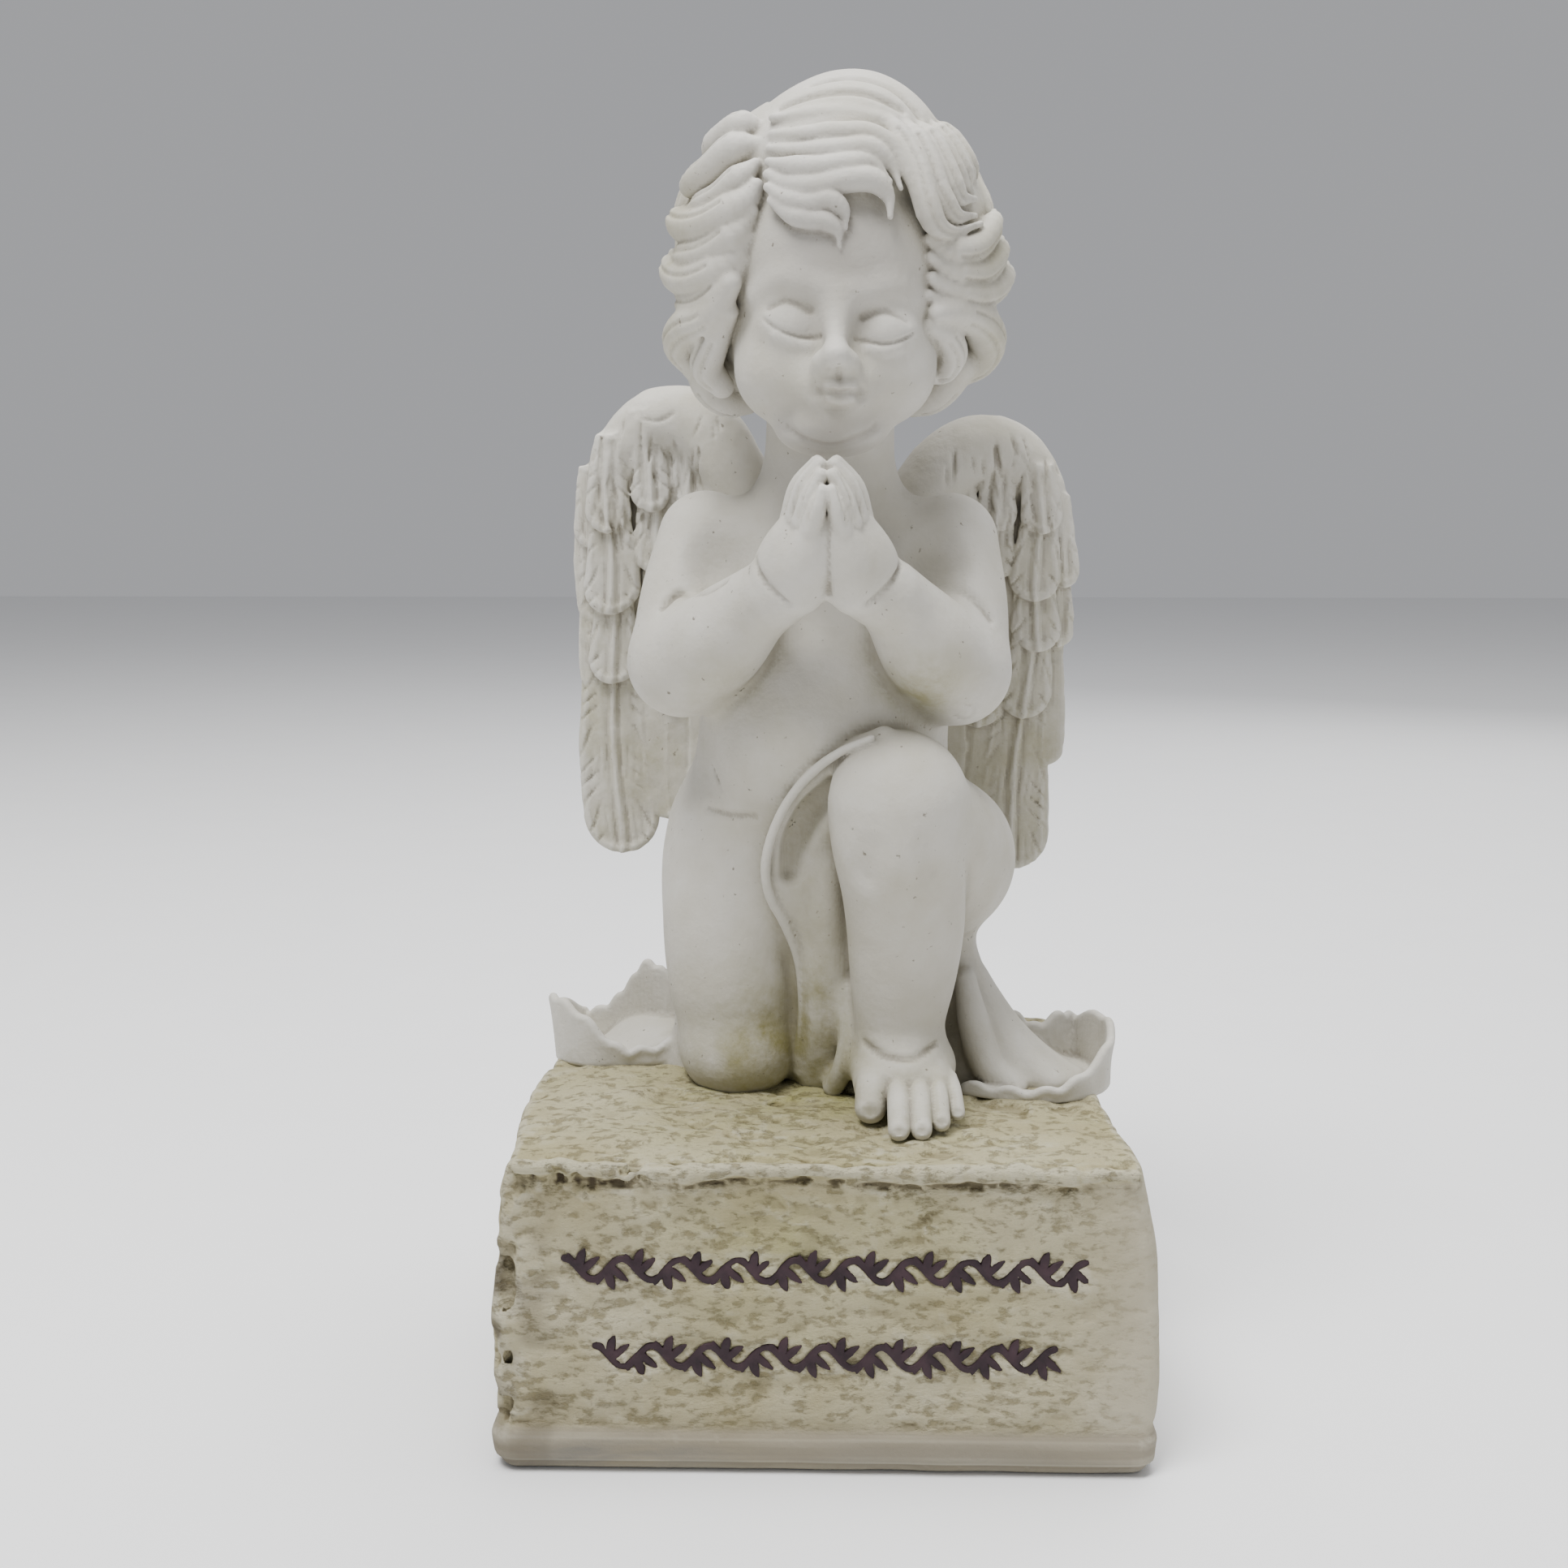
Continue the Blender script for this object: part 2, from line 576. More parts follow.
def block_clay():
    clay = Clay(block_low - 4, block_high + 4, 0.64)
    x, y, z = clay.grid()
    half_depth = (block_high[1] - block_low[1]) / 2
    # the sides bulge at a third of the height, and the left one bulges in plan as well
    rise = (z - 20.0) / (block_top - 20.0)
    half_width = 57.4 - 3.9 * np.maximum(rise, 0) ** 2 - 1.6 * np.clip(-rise / 0.58, 0, 1) ** 2
    bulge = 2.4 * np.exp(-(((y + 8) / 24) ** 2)) * step_up(z, 30, 54)
    taper = 2.2 * step_up(y, -45, 10) * step_up(z, 20, 54)
    side = np.where(x < 0, -x - half_width - bulge, x - half_width + taper)
    back_round, front_round = 11.0, 3.2
    round_off = np.where(y > 0, back_round, front_round)
    deep = np.abs(y) - half_depth
    corner = np.hypot(np.maximum(side + round_off, 0), np.maximum(deep + round_off, 0)) - round_off
    wall = np.where((side > -round_off) & (deep > -round_off), corner, np.maximum(side, deep))
    top = z - block_top - 0.8 * noise(x, y, z * 0, 26, 3)
    edge, foot_edge = 1.3, 2.2
    lid = np.hypot(np.maximum(wall + edge, 0), np.maximum(top + edge, 0)) - edge
    body = np.where((wall > -edge) & (top > -edge), lid, np.maximum(wall, top))
    on_top = step_up(top - wall, -1.0, 1.0)
    # the trowelled band at the foot stands back under a small ledge, and its lower edge is rounded
    band = 1 - step_up(z, band_top - 1.2, band_top + 1.4)
    sunk = 0.75 * (1 + 0.25 * noise(x, y, z, (16, 16, 3), 9)) * (1 - step_up(z, band_top - 2, band_top))
    body -= band * sunk
    body += 0.35 * np.exp(-(((z - band_top - 0.8) / 0.8) ** 2)) * (1 - on_top)
    foot = np.hypot(np.maximum(wall + foot_edge, 0), np.maximum(foot_edge - z, 0)) - foot_edge
    body = np.where((wall > -foot_edge) & (z < foot_edge), np.maximum(body, foot), body)
    near = np.abs(body) < 2.6
    points = (np.argwhere(near) + clay.first) * clay.step
    body[near] += block_relief(points, np.broadcast_to(top - wall, body.shape)[near])
    clay.d = np.maximum(body, -z).astype(np.float32)
    # the crumbled lip along the front edge of the top, a rope of plaster with holes under and behind it
    lip = noise(x, y * 0, z * 0, 4.2, 11) + 0.6 * noise(x, y * 0, z * 0, 1.9, 12)
    lip_z = block_top - 0.7 + 0.8 * noise(x, y * 0, z * 0, 11, 13) + 0.5 * noise(x, y * 0, z * 0, 3.4, 14)
    lip_r = 1.25 + 0.50 * lip
    rope = np.sqrt((y - front_y - 0.25) ** 2 + ((z - lip_z) * 0.9) ** 2) - lip_r
    rope = np.maximum(rope, np.abs(x) - 52.5)
    under = np.sqrt((y - front_y + 0.3) ** 2 + ((z - lip_z + lip_r + 0.8) * 1.4) ** 2)
    under = under - 0.75 - 1.1 * noise(x, y * 0, z * 0, 2.6, 15)
    behind = np.sqrt((y - front_y - 3.0) ** 2 + (z - block_top) ** 2)
    behind = behind - 0.6 - 1.0 * noise(x, y * 0, z * 0, 2.4, 16)
    holes = np.maximum(np.minimum(under, behind), np.abs(x) - 52.0)
    old = np.maximum(clay.d, -holes)
    blend = 0.6
    fillet = np.maximum(blend - np.abs(old - rope), 0) ** 2 / (4 * blend)
    clay.d = (np.minimum(old, rope) - fillet).astype(np.float32)
    # chips and holes at the left front edge, and pits along its corner
    for n, spot in enumerate(np.random.default_rng(21).uniform(0, 1, (44, 4))):
        if n < 16:
            place = (-54.0 + 24 * spot[0] ** 2, front_y + 1.8 * spot[1] - 0.8, block_top - 4.2 * spot[2])
        else:
            place = (-57.3 + 4.4 * spot[0], front_y - 0.1 + 3.4 * spot[1], 9 + 40 * spot[2])
        clay.dent(0.9, place, (0.7 + 0.8 * spot[3], 0.8, 1 + 2.2 * spot[3]))
    # shallow hand-modelled dabs between lip and ornament
    for spot in np.random.default_rng(22).uniform(0, 1, (30, 3)):
        place = (-44 + 66 * spot[0], front_y - 0.1, 43.0 + 7.5 * spot[1])
        clay.dent(0.5, place, (1.3 + 1.1 * spot[2], 0.6, 0.8 + 0.6 * spot[2]))
    return clay


def vine(node_name, sprigs):
    """Rods of a leafy wave that fills the box of a CAD ornament."""
    low, high = box_mm(node_name)
    middle, length = (low + high) / 2, high[0] - low[0] - 1.0
    pitch = length / sprigs
    y = front_y + 0.45

    def stem(x):
        return middle[2] + 1.9 * np.cos(2 * np.pi * (x - low[0] - 0.5) / pitch)

    xs = np.linspace(low[0] + 0.5, high[0] - 0.5, sprigs * 8 + 1)
    rods = tube([(x, y, stem(x), 0.58) for x in xs], pieces=2)
    for n in range(2 * sprigs):
        x = low[0] + 0.5 + (n + 0.5) * pitch / 2
        side = 1 if n % 2 == 0 else -1
        for along, out, size in ((0.5, 3.6, 0.80), (2.4, 2.6, 0.66), (-1.7, 2.2, 0.60)):
            a = (x + 0.2 * along, y, stem(x + 0.2 * along), 0.5)
            b = (x + 0.85 * along, y, a[2] + side * 0.6 * out, size)
            c = (x + 1.25 * along + 0.4, y, a[2] + side * out, 0.25)
            rods += tube((a, b, c), pieces=4)
    return rods


def block_paint(points, crease):
    """Where the block is green, dirty, grey and smooth."""
    x, y, z = points.T
    on_top = step_up(z, block_top - 2.5, block_top - 1.0)
    near_feet = bell((x, -4, 30), (y, -8, 22))
    on_front = step_up(-y, 40, 46)
    centre_front = bell((x, 0, 34), (z, 38, 17))
    left_edge = step_up(-x, 51.0, 56.0) * on_front * step_up(z, 6, 12)
    lip = step_up(z, block_top - 5.5, block_top - 2.5) * step_up(-y, 43, 46)
    dirt = left_edge * step_up(spots(points, 3.4, 31), -0.05, 0.35) * 0.75
    dusty = step_up(-x, 36, 54) * on_front * step_up(spots(points, 5.5, 32), -0.1, 0.5)
    dirt = np.maximum(dirt, 0.40 * dusty)
    dirt = np.maximum(dirt, lip * step_up(-crease, 0.06, 0.30) * (0.55 + 0.45 * step_up(-x, 10, 45)))
    deep = step_up(-crease, 0.16, 0.50) * on_front * (0.25 + 0.40 * step_up(-x, 30, 52))
    ash = (1 - step_up(z, 4.0, 8.5)) * on_front * (0.25 + 0.75 * bell((x, -36, 17)))
    return {
        "stain": on_top * (0.35 + 0.65 * near_feet) + on_front * 0.65 * centre_front * (1 - lip),
        "dirt": np.clip(np.maximum(dirt, deep), 0, 1),
        "ash": ash,
        "smooth": 0.7 * step_up(x, 36, 57) * (1 - on_top),
        "band": 1 - step_up(z, band_top - 1, band_top + 1),
    }


def build_block():
    clay = block_clay()
    clay.number("plinth")
    vines = {"ornament_upper": vine("ornament_upper", 9), "ornament_lower": vine("ornament_lower", 8)}
    for rods in vines.values():
        clay.cut([(f, low - 0.15, high + 0.15) for f, low, high in rods], 0.25)
    cut_into_pieces(clay, stone, block_paint)
    paint = ornament_paint()
    for name, rods in vines.items():
        low, high = box_mm(name)
        inlay = Clay(low - 2.2, high + (2.2, 1.2, 2.2), 0.2 if COARSE == 1.0 else 0.16, reach=1.0)
        inlay.add(rods, piece=name)
        x, y, z = inlay.grid()
        inlay.d = np.maximum(inlay.d, front_y + 0.22 + 0.10 * noise(x, y * 0, z, 2.5, 41) - y)
        cut_into_pieces(inlay, paint, lambda points, crease: {})


build_block()

# ---------------------------------------------------------------- body
soles = block_top - 0.9  # castings sink a little into the stone look


def trunk(clay):
    # height, middle in x and y, radius in x and y
    rows = (
        (72, -3, 16, 12, 8), (79, -3, 15.5, 21, 15), (86, -3, 15, 26, 19.5),
        (96, -3, 13.5, 27.5, 21), (105, -2.2, 11.5, 26.5, 21.5), (113, -1.2, 9.8, 24.8, 21.8),
        (121, -0.6, 8.3, 23.8, 21.3), (130, 0, 7.2, 23.8, 19.6), (140, 0.3, 6.6, 24.6, 17.6),
        (149, 0.3, 6.2, 25.4, 16.2), (156, 0.3, 5.8, 24, 14.4), (162, 0.3, 5, 19.5, 12.4),
        (167, 0.3, 4, 14.5, 11.2), (172, 0.4, 3, 12.2, 10.8), (179, 0.6, 2, 11.7, 10.6),
        (192, 0.6, 3, 11.4, 10.6),
    )
    clay.add(stack(rows), piece="torso")
    # chest and the soft folds of the belly
    for side in (-1, 1):
        clay.lump("torso", 6, (0.3 + side * 9.5, -2.5, 148.5), (8.5, 7.5, 8))
    clay.lump("torso", 9, (-1.5, -5.5, 123), (15, 10, 12))


def arm(clay, side, name, elbow, wrist, shoulder):
    """Upper arm, plump elbow and forearm. side is -1 for the angel's right arm."""
    s, e, w = np.array(shoulder), np.array(elbow), np.array(wrist)
    upper = [(*s, 9.0), (*(s * 0.5 + e * 0.5 + (side * 1.2, 0, 0)), 8.9), (*e, 9.7)]
    clay.rod(name, 5, upper, 16)
    belly = e * 0.62 + w * 0.38 + (0, -1.0, -0.8)
    lower = [(*e, 9.7), (*belly, 9.1), (*(e * 0.25 + w * 0.75), 7.1), (*w, 6.3)]
    clay.rod(name, 2.2, lower, 16)


def hand(clay, side, name):
    """A hand laid palm to palm with the other one, its little finger to the front."""

    def at(x, y, z, radius):
        return (side * x, y, z, radius)

    back = (
        at(7.6, -23.5, 150.2, 6), at(6.5, -26, 155, 5.5), at(5, -28, 159.6, 3.9),
        at(4.8, -29, 162.4, 2),
    )
    clay.rod(name, 1.6, back, 8)
    heel = (
        at(4.7, -27.4, 150.4, 4.6), at(4, -30, 154.4, 4.4), at(3, -31.8, 158.2, 3.3),
        at(2.4, -32.6, 160.6, 2.2),
    )
    clay.rod(name, 1.8, heel, 8)
    clay.rod(name, 0.8, (at(1.6, -29.5, 160, 3.4), at(1.1, -31.5, 166, 2.2), at(0.8, -31.5, 169.6, 1.4)))
    inner = (
        at(1.9, -28.4, 150.8, 2.6), at(1.7, -31, 154.6, 2.6), at(1.4, -32.4, 158.4, 2.1),
        at(1.2, -33.2, 161.6, 1.6),
    )
    clay.rod(name, 1.2, inner, 8)
    # knuckle, joint and tip, from the little finger to the first
    fingers = (
        (at(2.7, -33.6, 160, 1.95), at(1.6, -35.2, 163.8, 1.6), at(0.8, -35.4, 166.6, 1.2)),
        (at(4, -32.2, 161.4, 1.95), at(2.8, -33.6, 165.8, 1.6), at(1, -34, 169.2, 1.25)),
        (at(5.1, -30.2, 162.2, 1.95), at(3.9, -31.6, 167.2, 1.6), at(1.2, -32, 171, 1.25)),
        (at(6, -27.8, 162.2, 1.95), at(4.8, -29.2, 167.4, 1.6), at(1.6, -30, 171.4, 1.25)),
    )
    for line in fingers:
        clay.rod(name, 0.2, line)
    for line in (
        ((3.5, 161, 0.3), (2.4, 164.9, 0.35), (1.2, 167.9, 0.25)),
        ((4.8, 162, 0.3), (3.6, 166.6, 0.35), (1.6, 170.3, 0.25)),
        ((5.8, 162.6, 0.3), (4.7, 167.2, 0.35), (2.1, 171.1, 0.25)),
    ):
        clay.groove(0.3, [(side * x, z, r) for x, z, r in line])
    clay.rod(name, 1, (at(5, -22.5, 154, 2.7), at(3.6, -21, 162.5, 2.1)))


def palm_gap(clay, middle):
    """The groove where the two hands meet, from the heels of the hands to the little fingers."""
    heights = ((149.6, 0.5), (152.6, 0.3), (156, 0.2), (160, 0.15), (165, 0.15))
    line = [(middle, clay.front(middle, z) - 0.1, z, radius) for z, radius in heights]
    clay.cut(tube(line), 0.7)


def kneeling_leg(clay):
    line = (
        (-14.5, 13, 101, 15.5), (-17.1, 8.6, 88, 14.4), (-17.3, 6.6, 75, 13.3), (-16.6, 5.4, 65.4, 11.4),
    )
    clay.rod("right_leg", 5, line, 14)
    clay.lump("right_leg", 5, (-16.8, 2.2, 59.2), (10.4, 9.8, 8))
    shin = ((-16.6, 7, 64, 9.4), (-17, 20, 62.8, 9.0), (-17, 34, 61.5, 6.8))
    clay.rod("right_leg", 3, shin, 6)
    clay.rod("right_foot", 3, ((-17, 36, 61, 6.3), (-17.5, 43, 60, 5.4)))
    for n, x in enumerate((-21.5, -19.4, -17.2, -14.8, -12.0)):
        clay.rod("right_foot", 0.8, ((x, 43.5, 58.5, 2 + 0.12 * n), (x, 46.5, 57, 1.8 + 0.12 * n)))


def raised_leg(clay):
    thigh = ((19, 16, 95, 16.5), (21.0, 6, 98, 15.2), (18.5, -6, 104.5, 12.4), (15.0, -13.0, 109.5, 11.4))
    clay.rod("left_leg", 4, thigh, 14)
    shin = (
        (12.8, -16.5, 112.2, 12.6), (13, -16.2, 105, 12), (14, -14.2, 97, 11.3), (14.6, -12.2, 89, 10.8),
        (14.4, -10.6, 80, 9.9), (13.9, -9.6, 71, 8.5), (13.8, -8.6, 64, 8.3),
    )
    clay.rod("left_leg", 1.6, shin, 10)
    for line in (((7.0, 104.5, 1.0), (6.0, 100.0, 1.2)), ((18.8, 105.0, 1.0), (20.2, 100.5, 1.2))):
        clay.groove(4.5, line, -2.2)


def raised_foot(clay):
    name = "left_foot"
    clay.rod(name, 2.6, ((14.2, -6.5, 62, 8.8), (14.4, -12, 61.8, 8.2), (14.6, -16.5, 60.8, 6.2)), 8)
    for x, radius in ((9.4, 5.0), (14.6, 4.9), (19.6, 4.6)):
        clay.rod(name, 1.8, ((x + 0.2, -9, 61, radius), (x, -18.4, 59.9, radius * 0.84)), 6)
    toes = (
        # root x and y, tip x, y and z, radius
        (9, -18, 8.2, -23.6, 57.4, 3.1),
        (13.3, -19.6, 13, -31.4, 55.9, 2.1),
        (16.9, -19.6, 17, -31, 55.9, 2.05),
        (20.1, -18.8, 20.6, -28, 56.3, 1.85),
        (22.6, -17.2, 23.7, -24.4, 56.9, 1.55),
    )
    for x0, y0, x1, y1, z1, r in toes:
        bend = (0.5 * (x0 + x1), 0.45 * y0 + 0.55 * y1, 0.4 * 61.0 + 0.6 * z1 + 1.2, r)
        clay.rod(name, 0.4, ((x0, y0, 61, r), bend, (x1, y1, z1, 0.92 * r)))
        clay.dent(0.3, (x1, y1 - 0.86 * r, z1 + 0.9), (0.66 * r, 0.45, 0.62 * r))


def drapery(clay):
    """The cloth from the raised knee down between the legs, with its rolled rim."""
    name = "drape_front"
    fill = (
        (
            (3, -9, 113, 6.4), (-2.2, -4.6, 105, 7.2), (-2.6, -2, 97, 8.2), (-1.2, -0.6, 88, 7.6),
            (0.6, 0.4, 78, 6.8),
        ),
        ((0.6, 0.4, 78, 6.8), (0.8, 2, 68, 7.2), (0.5, 5.5, 57, 7.8)),
        ((6, 4, 96, 11), (6, 6, 78, 11), (6, 10, 60, 11)),
    )
    for line in fill:
        clay.rod(name, 2.4, line, 6)
    folds = (
        ((-5, -9, 103, 1.4), (-6.2, -8.2, 95, 2), (-3.4, -6.4, 87, 2), (-0.8, -4.6, 77, 1.2)),
        (
            (1.4, -8, 106, 1), (0.2, -8.4, 98, 1.9), (0.4, -7.2, 89, 1.9), (1, -5.6, 79, 1.7),
            (1.6, -4.4, 69, 1.7), (0.6, -1, 57, 2.2),
        ),
        ((-2.6, -5.4, 84, 1.2), (-1.8, -5.4, 76, 1.6), (-1.4, -4, 66, 1.6), (-2.4, 0.4, 56.5, 2.2)),
        ((4.2, -6, 74, 1.4), (4.4, -7.6, 66, 1.8), (3.4, -7.6, 60, 2), (1.6, -5.4, 55.4, 2)),
    )
    for line in folds:
        clay.rod(name, 2.6, line, 6)
    rim = (
        (8, -21.2, 124, 0.6), (2.8, -19.6, 121.4, 0.8), (-2.2, -17, 117.4, 0.9),
        (-6.4, -15.2, 112.2, 0.9), (-9.4, -14, 106, 0.95), (-10.9, -12.6, 99.4, 0.95),
        (-10.2, -11, 93.4, 0.95), (-7.4, -8.6, 87.4, 0.95), (-5, -6, 80, 0.9), (-4.2, -3.6, 70, 0.9),
        (-4.6, 0, 57, 1.3),
    )
    web = [(x + 1.9 + 0.6 * r, y + 3.0, z - 0.6, 2.3) for x, y, z, r in rim]
    clay.rod(name, 1.2, web, 5)
    clay.rod(name, 0.8, rim, 6)
    hollow = (
        (1.6, -15.5, 114.5, 1.6), (-2.6, -12.8, 110.0, 2.2), (-5.6, -11.4, 104, 2.2),
        (-6.6, -10.8, 98.0, 1.6),
    )
    clay.cut(tube(hollow, pieces=5), 2.4)


def skirt(clay):
    """The cloth round the seat, gathered in folds that open towards the block."""
    low, high = box_mm("drape_back")
    waist, hem = high[2] - 1.0, low[2]

    def distance(x, y, z):
        drop = np.clip((waist - z) / (waist - hem), 0, 1)
        rx = 25.0 + 6.5 * drop**1.6
        ry = 22.0 + 8.5 * drop**1.3
        dx, dy = x - (1.5 + 1.5 * drop), y - 15.5
        angle = np.arctan2(dx, dy)
        wobble = 0.8 * np.sin(3.0 * angle + 0.05 * (z - 60)) + 0.7 * noise(x, y, z, (16, 16, 30), 51)
        crest = np.sin(11.0 * angle + 1.5 * wobble)
        folds = (0.5 + 1.7 * drop) * (crest + 0.35 * np.sin(23.0 * angle + 2.0 * wobble))
        scaled = np.sqrt((dx / rx) ** 2 + (dy / ry) ** 2)
        side = (scaled - 1) * 23.0 - folds
        sagging = z - waist + 1.6 * np.cos(angle * 2.0) - 0.4 * crest
        return np.maximum(np.maximum(side * 0.8, sagging), 7.5 - y)

    clay.add((distance, np.array([-37, 5, hem - 2.0]), np.array([39, 50, waist + 3])), 1.6, "drape_back")


def ruffle(clay, name, base, lift):
    """A hem of cloth that rises from the block: base is its foot line, lift its leaning height."""
    thickness = 1.1
    foot, raised = curve(base, 8), curve(lift, 8)
    rods = []
    for part in np.linspace(0, 1, 13):
        line = foot + raised * part
        line[:, 2] += 0.5 * np.sin(np.arange(len(line)) * 0.9) * part
        wide = thickness * (1.35 - 0.55 * np.sin(part * np.pi / 2))
        rods += [cone(a, b, wide, wide) for a, b in zip(line, line[1:])]
    clay.add(rods, 0.8, name)


def tails(clay):
    """The two ends of the cloth that lie on the block and turn their hems up."""
    z = block_top
    right, left = "right_drape_tail", "left_drape_tail"
    for x, y, rx, ry, rz in ((-30, 22, 14, 9, 6), (-41, 20.5, 11, 8.0, 2.2), (-34, 26, 10, 8, 7)):
        clay.lump(right, 3, (x, y, z), (rx, ry, rz))
    ruffle(
        clay, right,
        (
            (-30, 14, z + 0.6), (-36, 12.5, z + 0.6), (-42, 12, z + 0.4), (-47, 12.6, z + 0.2),
            (-51.4, 15.5, z), (-53, 20, z - 0.4), (-49, 27, z),
        ),
        (
            (1, -0.5, 3.4), (0, -1, 2), (0.6, -1.4, 3), (-0.8, -0.8, 8.6), (-1.8, 0.2, 11.6),
            (-2, 1.5, 10.5), (-1, 3, 6),
        ),
    )
    ruffle(
        clay, right,
        (
            (-27, 23, z + 2), (-31.5, 23.5, z + 3), (-35, 25, z + 3.5), (-39, 26.5, z + 2.5),
            (-43, 27.5, z + 1), (-48, 28, z),
        ),
        ((-1, 0, 10), (-1.5, 0, 12.4), (-1.5, 0, 13.2), (-1, 0.5, 9.5), (-1, 0.5, 6.5), (-1, 1, 5)),
    )
    for x, y, rx, ry, rz in ((29, 12, 9, 12, 11), (36, 10, 10, 11, 7), (44, 8, 10, 9, 2.2)):
        clay.lump(left, 3, (x, y, z), (rx, ry, rz))
    flow = (
        (25.6, 9, 80, 2.4), (27.5, 10, 72, 4.0), (31.5, 8, 64, 5.0), (37, 4, 57.6, 4.4),
        (43, 0, 54.4, 3.0),
    )
    clay.rod(left, 3, flow, 8)
    front_fold = ((27, 4, 74, 2), (28.5, 1, 66, 3), (31, -1.5, 58.5, 3), (36, -4, 54.8, 2.2))
    clay.rod(left, 3, front_fold, 8)
    outer_fold = ((30, 9, 73, 1.4), (35.6, 8.5, 64.5, 2), (41.6, 6, 58.8, 2), (48, 3, 55.6, 1.4))
    clay.rod(left, 2.4, outer_fold, 8)
    ruffle(
        clay, left,
        (
            (27, -3.5, z), (34, -6.5, z - 0.2), (41, -7.8, z - 0.2), (47, -6.2, z - 0.2),
            (52.2, -1, z - 0.4), (54, 7, z - 0.6), (51, 15, z),
        ),
        (
            (0, -0.4, 0.8), (0, -0.8, 1), (0.4, -1.2, 1.4), (1, -0.6, 3.4), (2, 0.6, 8.6),
            (0.4, 1.5, 11.4), (-1.5, 2, 8.4),
        ),
    )
    ruffle(
        clay, left, ((30, 16, z + 4), (37, 14, z + 3), (41.5, 13, z + 1.5), (46, 14, z + 1), (51, 15, z)),
        ((1.5, 0, 8), (0.5, 0, 6.5), (0, 0, 6), (0.5, 0, 8.6), (-1.5, 2, 8.4)),
    )


def body_details(clay):
    """Folds of fat, dimples and creases that are pressed in last."""
    inner_folds = (
        ((-29.5, 146, 0.2), (-26, 148.6, 0.3), (-21.5, 149.2, 0.3), (-17.5, 151, 0.1)),
        ((29.5, 144, 0.2), (27, 147.2, 0.3), (23.2, 149.6, 0.3), (19, 150.6, 0.1)),
        ((-22, 108.3, 0.05), (-17.5, 107.6, 0.12), (-13, 107.8, 0.05)),
    )
    for line in inner_folds:
        clay.groove(1.6, line)
    for x, z in ((-19.5, 155.5), (20.0, 155.0)):
        clay.dent(4, (x, clay.front(x, z) - 3, z), (5.5, 4.2, 5.5))
    # wrist creases and the ankle fold
    for side, x in ((-1, -9.0), (1, 9.6)):
        line = ((x + side * 3.2, 155.0, 0.15), (x + side * 1.0, 151.0, 0.3), (x - side * 2.6, 148.0, 0.15))
        clay.groove(1.4, line)
    clay.groove(1.2, ((7.2, 66.8, 0.3), (11, 65.6, 0.45), (16, 65.6, 0.45), (20.4, 66.8, 0.3)), 0.1)
    turns = np.radians(range(-150, 120, 30))
    ring = [(24.6 + 1.7 * np.cos(a), 127.6 + 1.5 * np.sin(a), 0.28) for a in turns]
    clay.groove(0.3, ring, 0, 2)
    clay.groove(0.3, ((-20.9, 116.4, 0.22), (-20, 114.2, 0.3), (-19.4, 112.6, 0.2)))


def body_paint(points, crease):
    """Where moss and damp have coloured the figure: low parts, elbows and the cloth."""
    x, y, z = points.T
    low_part = (1 - step_up(z, 56, 76)) * (0.25 + 0.75 * step_up(30 - np.abs(x), 0, 8))
    knee = bell((x, -9, 10), (z, 63, 13)) * step_up(10 - y, 0, 8)
    elbows = bell((np.abs(x + 1), 18, 7), (z, 132, 6)) * step_up(-y, 2, 10)
    cloth = bell((x, -4, 5), (z, 104, 13)) * step_up(-y, 4, 10)
    lap = bell((x, -1, 5), (z, 72, 18))
    elbows = elbows * (0.35 + 0.45 * (x > 0))
    stain = 0.10 + 0.35 * low_part + 1.1 * knee + elbows + 0.35 * cloth + 0.5 * lap
    return {"stain": np.clip(stain, 0, 1)}


def build_body():
    clay = Clay((-57.5, -41, soles - 1.5), (58.5, 50, 192), 0.42)
    trunk(clay)
    skirt(clay)
    kneeling_leg(clay)
    raised_leg(clay)
    drapery(clay)
    clay.reach = 3.5
    raised_foot(clay)
    clay.reach = 2.5
    tails(clay)
    clay.reach = 5.5
    arm(clay, -1, "right_arm", (-26.2, -5.5, 136), (-9.6, -22, 149), (-22.4, 4.6, 158))
    arm(clay, 1, "left_arm", (23.6, -5.5, 134.6), (10.6, -22, 149), (22.8, 4.6, 157.6))
    clay.reach = 2.5
    hand(clay, -1, "right_hand")
    hand(clay, 1, "left_hand")
    palm_gap(clay, 0.4)
    body_details(clay)
    clay.floor(soles)
    cut_into_pieces(clay, resin, body_paint)


build_body()

# ---------------------------------------------------------------- head and hair
skull = np.array([1.5, 3.0, 209.5])


